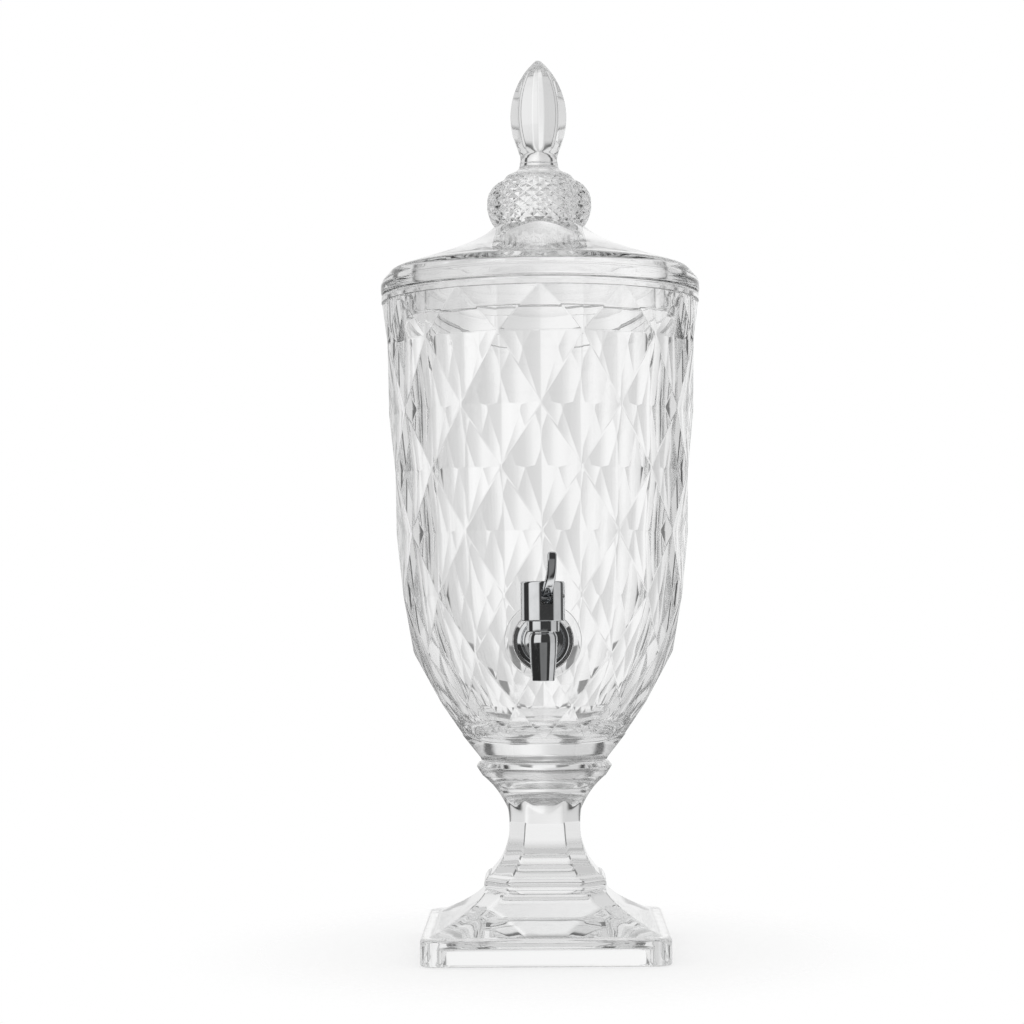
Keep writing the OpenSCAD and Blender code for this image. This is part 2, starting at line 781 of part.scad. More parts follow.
module tap_bonnet() {
    foot_bevel = 0.4;
    top_z = bonnet_z + bonnet_h;
    round_steps = 4;
    top_round = [
        for (i = [0:round_steps])
            let (a = 90 * i / round_steps)
            [bonnet_r - bonnet_round * (1 - cos(a)), top_z - bonnet_round * (1 - sin(a))]
    ];
    groove_z = bonnet_z + 2.5;
    color(chrome)
        difference() {
            at_tap()
                rotate_extrude()
                    polygon(concat(
                        [[0, bonnet_z], [bonnet_r - foot_bevel, bonnet_z], [bonnet_r, bonnet_z + foot_bevel]],
                        top_round,
                        [[0, top_z]]
                    ));
            at_tap() {
                translate([0, 0, bonnet_z - over])
                    cylinder(h = gland_h + over, r = thread_neck_r + thread_clear);
                cylinder(h = top_z, d = stem_d + 2 * slide_clear);
            }
            at_lever() {
                translate([-slot_w / 2, -bonnet_d, gland_top_z])
                    cube([slot_w, bonnet_d + slot_back, bonnet_h]);
                translate([-slot_w / 2, -bonnet_d, groove_z])
                    cube([slot_w, bonnet_d - bonnet_r + slot_groove, bonnet_h]);
                translate([-pin_left, -pivot_out, pivot_z])
                    rotate([0, 90, 0]) cylinder(h = pin_left + bonnet_d, d = pin_d + 2 * press_clear);
            }
        }
}

// Lever: an arm that comes out of the slot and bends up into a finger, and a fork behind the pivot
// that lifts the plunger
module tap_lever() {
    pivot = [pivot_out, pivot_z];
    tip_r = lever_tip_t / 2;
    tip = [tip_out, tip_z - tip_r];
    // The arm leaves the hub so steeply that it clears the slot's floor when it is pulled right down
    arm_rise = lever_swing - 7;
    arm_reach = 10;
    arm = [
        pivot,
        pivot + arm_reach * [cos(arm_rise), sin(arm_rise)],
        [tip_out, mix(pivot_z, tip_z, 0.3)],
        tip
    ];
    arm_steps = 10;
    function arm_edge(i, side) =
        let (
            t = i / arm_steps,
            along = bezier(arm, min(t + 0.01, 1)) - bezier(arm, max(t - 0.01, 0)),
            half_t = mix(lever_root_t, lever_tip_t, t) / 2
        )
        bezier(arm, t) + [-along[1], along[0]] / norm(along) * half_t * side;
    fork_at = [pivot_out - fork_reach * cos(lever_swing / 2), pivot_z - fork_fall];
    fork_side = [sin(lever_swing / 2), -cos(lever_swing / 2)] * fork_t / 2;
    fork_slot_w = stem_d + 2 * fork_slot_clear;
    fork_slot_end = pivot_out - stem_d / 2 / cos(lever_swing / 2) - 0.4;
    color(chrome)
        difference() {
            at_lever()
                union() {
                    lever_plate(lever_w) translate(pivot) circle(d = hub_d);
                    lever_plate(lever_w) translate(tip) circle(r = tip_r);
                    lever_plate(lever_w)
                        polygon(concat(
                            [for (i = [0:arm_steps]) arm_edge(i, 1)],
                            [for (i = [arm_steps:-1:0]) arm_edge(i, -1)]
                        ));
                    lever_plate(lever_w) translate(fork_at) circle(d = fork_d);
                    lever_plate(lever_w)
                        polygon([
                            pivot + fork_side, fork_at + fork_side, fork_at - fork_side, pivot - fork_side
                        ]);
                }
            at_lever()
                translate([0, -pivot_out, pivot_z]) {
                    rotate([0, 90, 0])
                        cylinder(h = lever_w + 2 * over, d = pin_d + 2 * pivot_clear, center = true);
                    rotate([-lever_swing / 2, 0, 0])
                        translate([-fork_slot_w / 2, fork_slot_end, -fork_d])
                            cube([fork_slot_w, fork_reach, 2 * fork_d]);
                }
        }
}

module lever_pin() {
    color("silver")
        at_lever()
            translate([press_clear - pin_left, -pivot_out, pivot_z])
                rotate([0, 90, 0]) cylinder(h = pin_left + pin_right - press_clear, d = pin_d);
}

module plunger_stem() {
    foot_r = stem_foot_d / 2;
    stem_r = stem_d / 2;
    color("ivory")
        at_tap()
            rotate_extrude()
                polygon([
                    [0, barb_z], [foot_r, barb_z], [barb_r, barb_z + barb_h - 0.3], [barb_r, barb_z + barb_h],
                    [foot_r, barb_z + barb_h], [foot_r, cup_top_z], [stem_collar_d / 2, cup_top_z],
                    [stem_collar_d / 2, spring_low_z], [stem_r, spring_low_z],
                    [stem_r, stem_top_z], [0, stem_top_z]
                ]);
}

// Collar screwed on the stem's end, which the fork lifts
module lift_collar() {
    color("silver")
        at_tap() translate([0, 0, lift_z]) tube(lift_d / 2, stem_d / 2 + press_clear, lift_t);
}

module seat_cup() {
    hole_r = stem_foot_d / 2 + press_clear;
    pocket_r = barb_r + press_clear;
    plug_r = plug_d / 2;
    waist_r = cup_waist_d / 2;
    plug_top_z = cup_low_z + plug_h;
    color(silicone)
        at_tap()
            rotate_extrude()
                polygon([
                    [0, cup_low_z], [plug_r - 0.4, cup_low_z], [plug_r, cup_low_z + 0.6],
                    [plug_r, plug_top_z], [waist_r, plug_top_z + 0.9], [waist_r, skirt_z - 0.9],
                    [skirt_r, skirt_z], [skirt_r, cup_top_z],
                    [hole_r, cup_top_z], [hole_r, barb_z + barb_h + press_clear],
                    [pocket_r, barb_z + barb_h + press_clear], [pocket_r, barb_z - press_clear],
                    [0, barb_z - press_clear]
                ]);
}

// One unbroken wire from the stem's collar up to the gland
spring_sides = 6;
spring_rings = 8;
spring_from_z = spring_low_z + spring_clear + wire_d / 2;
spring_to_z = gland_z - spring_clear - wire_d / 2;
spring_rise = (spring_to_z - spring_from_z) / spring_turns;
spring_steps = spring_turns * spring_rings;
function spring_ring(i) =
    let (
        turn = 360 * i / spring_rings,
        tilt = atan2(spring_rise, PI * spring_d),
        out = [cos(turn), sin(turn), 0],
        up = [sin(turn) * sin(tilt), -cos(turn) * sin(tilt), cos(tilt)],
        centre = out * spring_d / 2 + [0, 0, spring_from_z + spring_rise * i / spring_rings]
    )
    [
        for (k = [0:spring_sides - 1])
            let (a = -360 * k / spring_sides)
            centre + (out * cos(a) + up * sin(a)) * wire_d / 2
    ];
spring_gap = spring_rise - wire_d;
echo(spring_least_gap_mm = spring_gap);

module return_spring() {
    color("silver") at_tap() ring_solid([for (i = [0:spring_steps]) spring_ring(i)]);
}

// Washers and nut, stacked along the shank
module on_shank(y) {
    along_shank() translate([0, 0, tap_y - y]) children();
}

module outer_washer() {
    color(silicone) on_shank(flange_y) tube(outer_washer_d / 2, shank_r + washer_clear, washer_t);
}

module inner_washer() {
    color(silicone) on_shank(inner_boss_y) tube(inner_washer_d / 2, shank_r + washer_clear, washer_t);
}

module slip_washer() {
    color("gainsboro") on_shank(inner_boss_y - washer_t) tube(slip_d / 2, shank_r + washer_clear, slip_t);
}

module shank_nut() {
    corner_r = nut_w / 2 / cos(30);
    color("whitesmoke")
        on_shank(inner_boss_y - washer_t - slip_t)
            difference() {
                cylinder(h = nut_t, r = corner_r, $fn = 6);
                translate([0, 0, -over]) cylinder(h = nut_t + 2 * over, r = shank_r + thread_clear);
            }
}

vessel();
pedestal();
lid_cover();
lid_knop();
lid_finial();
tap_body();
tap_bonnet();
tap_lever();
lever_pin();
plunger_stem();
lift_collar();
seat_cup();
return_spring();
outer_washer();
inner_washer();
slip_washer();
shank_nut();
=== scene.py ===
# Looks of a footed glass drink dispenser: cut glass, a chromed lever tap and its inner pieces.
# Sizes are in millimetres unless a name says otherwise, and become metres when a mesh is made.
import math

import bmesh
import bpy
import numpy as np
from mathutils import Matrix, Vector


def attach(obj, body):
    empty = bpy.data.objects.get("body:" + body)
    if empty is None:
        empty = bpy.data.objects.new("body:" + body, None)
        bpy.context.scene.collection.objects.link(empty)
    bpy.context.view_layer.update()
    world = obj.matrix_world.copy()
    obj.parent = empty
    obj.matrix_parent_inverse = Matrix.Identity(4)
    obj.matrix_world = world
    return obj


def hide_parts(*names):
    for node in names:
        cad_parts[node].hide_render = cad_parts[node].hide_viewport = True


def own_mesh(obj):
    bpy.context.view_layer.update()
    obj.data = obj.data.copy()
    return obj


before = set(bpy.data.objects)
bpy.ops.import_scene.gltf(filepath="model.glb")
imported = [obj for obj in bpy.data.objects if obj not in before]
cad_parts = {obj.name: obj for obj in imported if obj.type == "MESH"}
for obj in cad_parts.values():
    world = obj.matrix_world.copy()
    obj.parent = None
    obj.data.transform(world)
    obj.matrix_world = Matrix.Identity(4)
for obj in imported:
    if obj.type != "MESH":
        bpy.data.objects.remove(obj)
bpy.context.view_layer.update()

MM = 0.001

# Pedestal
PLINTH_W = 135.0
PLINTH_T = 14.5
PLINTH_CORNER_R = 8.0
PLINTH_LEDGE = 5.5
FOOT_EDGE_W = 9.0
FOOT_RECESS = 9.0
PEDESTAL_H = 105.0
PYRAMID_Z = 34.0
BEAD_W = 67.6
BEAD_H = 9.0
WAIST_Z = 70.0
WAIST_W = 39.4
COLLAR_D = 76.0
COLLAR_T = 8.0
CUP_H = 21.0

# Jar
RIM_Z = 366.0
RIM_D = 179.0
BELLY_D = 161.0
BOWL_Z = 205.0
NECK_D = 71.0
WALL_T = 6.5
BOTTOM_T = 17.0
BASE_BAND_H = 14.0
RIM_BAND_H = 3.0
LOZENGES = 12
RELIEF = 3.6
ROW_SHARES = (0, 0.077, 0.191, 0.322, 0.463, 0.602, 0.739, 0.897, 1)

# Tap's place on the jar
TAP_Z = 173.4
BOSS_D = 41.0
BOSS_T = 11.5
BOSS_PROUD = 1.0
BOSS_HOLE_D = 16.0
WASHER_T = 2.0
TAP_REACH = 18.5
LEVER_TURN = math.radians(12)

# Tap body
FLANGE_D = 28.0
FLANGE_EDGE_T = 1.6
TUBE_D = 10.0
SHANK_D = 14.6
THREAD_DEPTH = 0.7
THREAD_PITCH = 2.0
SHANK_SPARE = 5.0
INLET_D = 6.8
CHAMBER_D = 15.2
CHAMBER_BORE_D = 10.4
SPOUT_DROP = 20.4
SPOUT_D = 11.6
OUTLET_D = 7.4
SEAT_DROP = 9.0
TAP_COLLAR_Z = 5.2
TAP_COLLAR_D = 17.2
TAP_COLLAR_H = 5.7
NECK_THREAD_H = 4.6
GROOVE_DEPTH = 1.1

# Bonnet and lever
BONNET_D = 23.2
BONNET_H = 20.7
BONNET_ROUND = 1.4
GLAND_H = 6.9
GLAND_T = 1.8
SLOT_GROOVE = 0.8
LEVER_W = 5.2
PIVOT_OUT = 6.1
PIN_D = 2.4
HUB_D = 5.8
TIP_OUT = 23.5
TIP_H = 15.0
LEVER_ROOT_T = 4.6
LEVER_TIP_T = 3.4
LEVER_SWING = math.radians(45)
FORK_D = 2.6
FORK_T = 1.6

# Plunger
STEM_D = 2.2
STEM_FOOT_D = 3.4
STEM_COLLAR_D = 8.6
STEM_COLLAR_T = 1.2
LIFT_D = 4.0
LIFT_T = 1.6
PLUG_D = 8.6
PLUG_H = 3.2
CUP_WAIST_D = 5.8
SKIRT_H = 2.0
WIRE_D = 0.8
SPRING_D = 6.4
SPRING_TURNS = 5

# Washers and nut
OUTER_WASHER_D = 32.6
INNER_WASHER_D = 27.0
SLIP_T = 1.0
SLIP_D = 25.0
NUT_W = 22.0
NUT_T = 7.0

# Clearances
WASHER_CLEAR = 0.3
THREAD_CLEAR = 0.1
SLIDE_CLEAR = 0.08
PIVOT_CLEAR = 0.05
PRESS_CLEAR = 0.02
SLOT_CLEAR = 0.4
LIFT_GAP = 0.45
FORK_CLEAR = 0.35
FORK_SLOT_CLEAR = 0.3
SPRING_CLEAR = 0.1

# Lid
KNOP_Z = 405.0
BRIM_OVER = 0.3
BRIM_T = 7.5
BRIM_CHAMFER_W = 6.0
BRIM_CHAMFER_H = 7.0
DOME_T = 7.0
RING_GAP = 5.5
RING_DROP = 14.0
RING_T = 4.5
KNOP_D = 59.2
KNOP_SEAT_D = 50.0
KNOP_CUT_H = 26.5
KNOP_SHOULDER_D = 41.0
KNOP_WELL_D = 21.0
KNOP_WELL_H = 10.0
KNOP_LOZENGES = 24
KNOP_RELIEF = 1.1
FINIAL_Z = 441.0
FINIAL_H = 59.0
BUD_D = 33.2
BUD_WIDE_H = 26.0
FINIAL_NECK_D = 20.8
BUD_PANELS = 10

# Bonded glass faces reach this far into each other, so that light passes the joint
BOND = 0.05


# Curves and profiles
def mix(a, b, t):
    return a + (b - a) * t


def bezier(points, t):
    p = np.asarray(points, float)
    return (1 - t) ** 3 * p[0] + 3 * (1 - t) ** 2 * t * p[1] + 3 * (1 - t) * t * t * p[2] + t**3 * p[3]


def bezier_path(points, steps):
    return [tuple(bezier(points, i / steps)) for i in range(steps + 1)]


def bezier_radius(points, z):
    """Radius of a falling curve at height z, found by halving."""
    halvings = 40
    low, high = 0.0, 1.0
    for _ in range(halvings):
        mid = (low + high) / 2
        if bezier(points, mid)[1] > z:
            low = mid
        else:
            high = mid
    return bezier(points, low)[0]


def rounded(corners, steps=5):
    """A profile of (radius, height, rounding) corners, each turned into a small arc."""
    most = 0.45  # the share of a side that a rounding may take
    out = [tuple(corners[0][:2])]
    for before, here, after in zip(corners, corners[1:], corners[2:]):
        p = np.array(here[:2], float)
        if len(here) < 3 or here[2] == 0:
            out.append(tuple(p))
            continue
        to_a = np.array(before[:2], float) - p
        to_b = np.array(after[:2], float) - p
        reach = min(here[2], most * np.linalg.norm(to_a), most * np.linalg.norm(to_b))
        start = p + to_a / np.linalg.norm(to_a) * reach
        end = p + to_b / np.linalg.norm(to_b) * reach
        for i in range(steps + 1):
            t = i / steps
            out.append(tuple((1 - t) ** 2 * start + 2 * t * (1 - t) * p + t * t * end))
    out.append(tuple(corners[-1][:2]))
    return out


def bar_outline(radius, low, high, low_round=0, high_round=0, steps=5):
    """Outline of a round bar with rounded edges, ready to be turned."""
    return rounded([(0, low), (radius, low, low_round), (radius, high, high_round), (0, high)], steps)


def tube_outline(inner_r, outer_r, low, high, rounding):
    """A closed outline of a tube with rounded edges, ready to be turned."""
    middle = (low + high) / 2
    return rounded([
        (inner_r, middle), (inner_r, low, rounding), (outer_r, low, rounding), (outer_r, high, rounding),
        (inner_r, high, rounding), (inner_r, middle + 0.01)
    ])


# Meshes
def round_steps(count):
    """Equal angles all the way round."""
    return 2 * np.pi * np.arange(count) / count


def front_steps(count):
    """Equal angles all the way round, starting in front."""
    return round_steps(count) - np.pi / 2


def polar(radius, z):
    """A ring of points at these distances from the axis, starting in front."""
    count = len(radius)
    angle = front_steps(count)
    return np.stack([radius * np.cos(angle), radius * np.sin(angle), np.full(count, float(z))], axis=1)


def round_rings(profile, count):
    return [polar(np.full(count, radius), z) for radius, z in profile]


def skin(name, rings, start=None, end=None, closed=False):
    """A mesh over rings of equal point counts, closed by a point at either end or by joining the last
    ring to the first."""
    count = len(rings[0])
    points = [tuple(p) for ring in rings for p in ring]
    faces = []
    pairs = len(rings) if closed else len(rings) - 1
    for i in range(pairs):
        low, high = i * count, (i + 1) % len(rings) * count
        for k in range(count):
            n = (k + 1) % count
            faces.append((low + k, low + n, high + n, high + k))
    for pole, first, flip in ((start, 0, True), (end, (len(rings) - 1) * count, False)):
        if pole is None:
            continue
        points.append(tuple(pole))
        tip = len(points) - 1
        for k in range(count):
            a, b = first + k, first + (k + 1) % count
            faces.append((b, a, tip) if flip else (a, b, tip))
    mesh = bpy.data.meshes.new(name)
    mesh.from_pydata((np.array(points) * MM).tolist(), [], faces)
    mesh.validate()
    mesh.update()
    return mesh


def lathe(name, profile, count):
    """A turned solid. A profile that starts or ends on the axis is closed there by a point."""
    on_axis = 1e-6
    start = (0, 0, profile[0][1]) if profile[0][0] < on_axis else None
    end = (0, 0, profile[-1][1]) if profile[-1][0] < on_axis else None
    rings = round_rings([(r, z) for r, z in profile if r >= on_axis], count)
    return skin(name, rings, start, end, closed=start is None and end is None)


def cylinder(name, radius, low, high, count=96):
    return lathe(name, bar_outline(radius, low, high), count)


def block(name, low, high):
    """A box between two corners."""
    corners = [(low[0], low[1]), (high[0], low[1]), (high[0], high[1]), (low[0], high[1])]
    middle = ((low[0] + high[0]) / 2, (low[1] + high[1]) / 2)
    rings = [[(*corner, z) for corner in corners] for z in (low[2], high[2])]
    return skin(name, rings, (*middle, low[2]), (*middle, high[2]))


def shade(mesh):
    """Smooth shading that breaks at sharp edges."""
    sharp_from = math.radians(38)
    mesh.shade_smooth()
    mesh.set_sharp_from_angle(angle=sharp_from)
    return mesh


def placed(mesh, matrix):
    mesh.transform(matrix)
    return mesh


def linked(name, data):
    """A new object in the scene."""
    item = bpy.data.objects.new(name, data)
    bpy.context.scene.collection.objects.link(item)
    return item


def finished_mesh(item):
    """A new mesh with the object's modifiers applied."""
    graph = bpy.context.evaluated_depsgraph_get()
    return bpy.data.meshes.new_from_object(item.evaluated_get(graph))


def combined(name, mesh, steps):
    """The mesh after a row of ("UNION" or "DIFFERENCE", other mesh) steps."""
    base = linked(name, mesh)
    others = []
    for operation, other in steps:
        tool = linked(name + "_tool", other)
        others.append(tool)
        cut = base.modifiers.new("cut", "BOOLEAN")
        cut.operation = operation
        cut.object = tool
        cut.solver = "MANIFOLD"
    result = finished_mesh(base)
    for spare in [base] + others:
        spare_mesh = spare.data
        bpy.data.objects.remove(spare)
        bpy.data.meshes.remove(spare_mesh)
    result.name = name
    result.materials.clear()
    return result


def add_piece(name, mesh, body, node, slot):
    piece = linked(name, mesh)
    mesh.materials.append(MATERIALS[slot])
    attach(piece, body)
    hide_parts(node)
    return piece


# Cut patterns
def facet_solid(name, rows, corners, rounding):
    """A closed solid of flat facets. A row is (radius, height, dip, first): every other of its points lies
    lower by dip. Each cell between two rows is split along the line that joins its high points, so the
    ridges form lozenges. Ridges and creases are rounded, as fire polishing eases pressed glass."""
    count = 2 * corners
    index = np.arange(count)
    angle = front_steps(count)
    points = []
    faces = []
    for i, (radius, z, dip, first) in enumerate(rows):
        reach = np.where((index + first) % 2 == 0, radius, radius - dip)
        points += [(r * math.cos(a) * MM, r * math.sin(a) * MM, z * MM) for r, a in zip(reach, angle)]
        if i == len(rows) - 1:
            break
        for k in range(count):
            n = (k + 1) % count
            a, b, c, d = i * count + k, i * count + n, (i + 1) * count + n, (i + 1) * count + k
            faces += [(a, b, c), (a, c, d)] if (k + first) % 2 == 0 else [(a, b, d), (b, c, d)]
    top = (len(rows) - 1) * count
    faces += [tuple(range(count))[::-1], tuple(range(top, top + count))]
    mesh = bpy.data.meshes.new(name)
    mesh.from_pydata(points, [], faces)
    work = bmesh.new()
    work.from_mesh(mesh)
    ridges = [edge for edge in work.edges if all(len(face.verts) == 3 for face in edge.link_faces)]
    bmesh.ops.bevel(work, geom=ridges, offset=rounding * MM, offset_type="OFFSET", segments=3, profile=0.5,
                    affect="EDGES", clamp_overlap=True)
    work.to_mesh(mesh)
    work.free()
    return mesh


def flat_facets(mesh):
    """Smooth shading that keeps large faces flat: the normals follow the area of the faces round a point."""
    base = linked(mesh.name, shade(mesh))
    even = base.modifiers.new("even", "WEIGHTED_NORMAL")
    even.keep_sharp = True
    even.weight = 100
    result = finished_mesh(base)
    bpy.data.objects.remove(base)
    return result


# Jar
NECK_R = NECK_D / 2
NECK_TOP_Z = PEDESTAL_H + 2
TAPER = (RIM_D - BELLY_D) / 2 / (RIM_Z - BOWL_Z)
BOWL_EASE = 46.0
FLARE_EASE = (23.0, 29.0)
BOWL_CURVE = (
    (BELLY_D / 2, BOWL_Z),
    (BELLY_D / 2 - TAPER * BOWL_EASE, BOWL_Z - BOWL_EASE),
    (NECK_R + FLARE_EASE[0], NECK_TOP_Z + FLARE_EASE[1]),
    (NECK_R, NECK_TOP_Z),
)


def jar_r(z):
    if z >= BOWL_Z:
        return BELLY_D / 2 + TAPER * (z - BOWL_Z)
    return bezier_radius(BOWL_CURVE, z)


def jar_inner_r(z):
    """Radius of the inside, a wall's thickness from the outside."""
    half_step = 0.5
    slope = (jar_r(z + half_step) - jar_r(z - half_step)) / (2 * half_step)
    return jar_r(z) - WALL_T * math.sqrt(1 + slope**2)


BOSS_Y = jar_r(TAP_Z) + BOSS_PROUD
INNER_BOSS_Y = BOSS_Y - BOSS_T
FLANGE_Y = BOSS_Y + WASHER_T
TAP_Y = FLANGE_Y + TAP_REACH
AT_TAP = Matrix.Translation((0, -TAP_Y * MM, TAP_Z * MM))
AT_LEVER = AT_TAP @ Matrix.Rotation(LEVER_TURN, 4, "Z")
# Turned shapes along the shank: their Z runs from the valve chamber into the jar
INWARD = Matrix.Rotation(-math.pi / 2, 4, "X")
ALONG_SHANK = AT_TAP @ INWARD


def disc_on_boss(name, radius, from_y, to_y, rounding=0.0):
    """A round stub about the shank's axis from from_y out to to_y, its outer edge rounded."""
    profile = bar_outline(radius, 0, to_y - from_y, 0, rounding)
    turn = Matrix.Translation((0, -from_y * MM, TAP_Z * MM)) @ Matrix.Rotation(math.pi / 2, 4, "X")
    return placed(lathe(name, profile, 160), turn)


def vessel_mesh():
    count = 240
    low_z = PEDESTAL_H + BASE_BAND_H
    top_z = RIM_Z - RIM_BAND_H
    last = len(ROW_SHARES) - 1
    end_share = 0.3  # of the relief, in the first and last rows
    sink = 1.0
    rows = []
    for i, share in enumerate(ROW_SHARES):
        z = mix(low_z, top_z, share)
        dip = RELIEF * end_share if i in (0, last) else RELIEF
        rows.append((jar_r(z), z, dip, i % 2))
    pattern = facet_solid("vessel", rows, LOZENGES, rounding=0.55)
    # Plain base band below the pattern and plain rim above it, each a little proud
    proud = 0.2
    band_z = low_z + sink
    band = [(0, PEDESTAL_H - BOND), (NECK_R - 1.5, PEDESTAL_H - BOND), (NECK_R - 0.3, PEDESTAL_H + 0.8, 0.4)]
    band += [(jar_r(z) + proud, z) for z in np.linspace(NECK_TOP_Z, band_z, 14)]
    band[-1] = (*band[-1], 0.8)
    band.append((0, band_z))
    rim = bar_outline(RIM_D / 2, top_z - sink, RIM_Z, 0.5, 1.0)
    # The inside is smooth, with a rounded floor and an eased lip
    floor_z = PEDESTAL_H + BOTTOM_T
    floor_round = 9.0
    turn_z = floor_z + floor_round
    turn_r = jar_inner_r(turn_z)
    floor_curve = (
        (0, floor_z),
        (turn_r * 0.55, floor_z),
        (turn_r - floor_round * 0.8, floor_z + floor_round * 0.2),
        (turn_r, turn_z),
    )
    lip = 1.2
    lip_r = jar_inner_r(RIM_Z)
    cavity = bezier_path(floor_curve, 24)
    cavity += [(jar_inner_r(z), z) for z in np.linspace(turn_z, RIM_Z - lip, 60)[1:]]
    for turn in np.linspace(0, math.pi / 2, 7)[1:]:
        cavity.append((lip_r + lip * (1 - math.cos(turn)), RIM_Z - lip + lip * math.sin(turn)))
    cavity += [(lip_r + lip, RIM_Z + sink), (0, RIM_Z + sink)]
    # The flat boss, the pad behind it and the hole for the shank
    boss_r = BOSS_D / 2
    pad_r = INNER_WASHER_D / 2 + 1.5
    deep = 15.0
    middle = INNER_BOSS_Y + BOSS_T / 2
    return combined("vessel", pattern, [
        ("UNION", lathe("band", rounded(band), count)),
        ("UNION", lathe("rim", rim, count)),
        ("UNION", disc_on_boss("boss", boss_r, INNER_BOSS_Y, BOSS_Y, 0.8)),
        ("DIFFERENCE", lathe("cavity", cavity, count)),
        ("DIFFERENCE", disc_on_boss("boss_face", boss_r, BOSS_Y, BOSS_Y + deep)),
        ("UNION", disc_on_boss("pad", pad_r, INNER_BOSS_Y, middle + sink)),
        ("DIFFERENCE", disc_on_boss("pad_face", pad_r, INNER_BOSS_Y - deep, INNER_BOSS_Y)),
        ("DIFFERENCE", disc_on_boss("hole", BOSS_HOLE_D / 2, INNER_BOSS_Y - sink, BOSS_Y + sink)),
    ])


# Pedestal
def soft_least(a, b, sharpness=110):
    """The smaller of two radii, eased where they cross."""
    return (a**-sharpness + b**-sharpness) ** (-1 / sharpness)


def soft_most(a, b, sharpness=110):
    """The larger of two radii, eased where they cross."""
    low = np.maximum(a, b)
    return low * ((a / low) ** sharpness + (b / low) ** sharpness) ** (1 / sharpness)


def cut_square(half, leg, angle):
    """Radius of a square with its corners cut by legs of that length, seen from its middle."""
    across = np.abs(np.cos(angle))
    along = np.abs(np.sin(angle))
    return soft_least(half / np.maximum(across, along), (2 * half - leg) / (across + along), 60)


def rounded_square(half, corner_r, angle):
    """Radius of a square with rounded corners, seen from its middle."""
    across = np.abs(np.cos(angle))
    along = np.abs(np.sin(angle))
    flat = half / np.maximum(across, along)
    centre = half - corner_r
    toward = (across + along) * centre
    arc = toward + np.sqrt(np.maximum(toward**2 - 2 * centre**2 + corner_r**2, 0))
    in_corner = np.minimum(flat * across, flat * along) > centre
    return np.where(in_corner, arc, flat)


def pedestal_mesh():
    count = 480
    angle = front_steps(count)
    half = PLINTH_W / 2
    recess_half = half - FOOT_EDGE_W
    recess_corner_r = PLINTH_CORNER_R - 2
    pyramid_half = half - PLINTH_LEDGE
    # Underside: a flat recess and the edge that stands on the table
    under = rounded([
        (recess_half / 2, FOOT_RECESS), (recess_half, FOOT_RECESS, 1.5), (recess_half, 0, 0.8),
        (half, 0, 1.2), (half, PLINTH_T, 1.8), (pyramid_half + 1, PLINTH_T)
    ])
    rings = []
    for w, z in under:
        corner_r = recess_corner_r if w <= recess_half + 0.01 else PLINTH_CORNER_R
        rings.append(polar(rounded_square(w, corner_r, angle), z))
    # Pyramid, bead and stem: squares with cut corners
    bead_r = BEAD_W / 2
    bead_foot = bead_r - 2.6
    bead_top_z = PYRAMID_Z + BEAD_H
    waist_r = WAIST_W / 2
    collar_z = PEDESTAL_H - COLLAR_T
    cup_z = collar_z - CUP_H
    stem_top = (waist_r + 1.9, cup_z + CUP_H * 0.47)
    pyramid = (
        (pyramid_half, PLINTH_T),
        (mix(pyramid_half, bead_r, 0.45), mix(PLINTH_T, PYRAMID_Z, 0.3)),
        (bead_r + 3, mix(PLINTH_T, PYRAMID_Z, 0.72)),
        (bead_r, PYRAMID_Z),
    )
    lower = (
        (bead_foot - 1, bead_top_z),
        (mix(waist_r, bead_foot, 0.35), bead_top_z + 7),
        (waist_r, WAIST_Z - 12),
        (waist_r, WAIST_Z),
    )
    upper = (
        (waist_r, WAIST_Z),
        (waist_r, mix(WAIST_Z, stem_top[1], 0.4)),
        (mix(waist_r, stem_top[0], 0.5), mix(WAIST_Z, stem_top[1], 0.7)),
        stem_top,
    )
    corner_leg = 4.3
    sections = []

    def add_sections(path, first, last):
        for i, (w, z) in enumerate(path):
            sections.append((w, w * mix(first, last, i / (len(path) - 1)), z))

    add_sections(bezier_path(pyramid, 24), corner_leg / pyramid_half, 0.3)
    bead_steps = 14
    bead = []
    for i in range(bead_steps + 1):
        t = i / bead_steps
        swell = max(math.sin(math.pi * t), 0) ** 0.7
        bead.append((bead_foot + (bead_r - bead_foot) * swell, mix(PYRAMID_Z + 0.4, bead_top_z - 0.2, t)))
    add_sections(bead, 0.38, 0.38)
    add_sections(bezier_path(lower, 24), 0.4, 0.445)
    add_sections(bezier_path(upper, 24)[1:], 0.46, 0.5)
    # The round cup and the collar
    collar_r = COLLAR_D / 2
    cup_foot_r = waist_r - 0.2
    flare_r = collar_r - 3.4
    edge_z = PEDESTAL_H - 2.6
    flare = (
        (cup_foot_r, cup_z),
        (cup_foot_r + 2, mix(cup_z, collar_z, 0.22)),
        (mix(cup_foot_r, flare_r, 0.4), mix(cup_z, collar_z, 0.67)),
        (flare_r, collar_z),
    )
    cup = bezier_path(flare, 48)
    cup_heights = [z for r, z in cup]
    cup_radii = [r for r, z in cup]
    for w, leg, z in sections:
        radius = cut_square(w, leg, angle)
        if z > cup_z:
            radius = soft_most(radius, np.full(count, np.interp(z, cup_heights, cup_radii)))
        rings.append(polar(radius, z))
    rings += round_rings([(r, z) for r, z in cup if z > stem_top[1] + 0.3], count)
    collar = rounded([
        (flare_r - 0.6, collar_z - 0.5), (flare_r, collar_z, 0.8), (collar_r, edge_z, 0.45),
        (collar_r - 2, PEDESTAL_H, 0.6), (20, PEDESTAL_H)
    ])
    rings += round_rings(collar[1:], count)
    return skin("pedestal", rings, (0, 0, FOOT_RECESS), (0, 0, PEDESTAL_H))


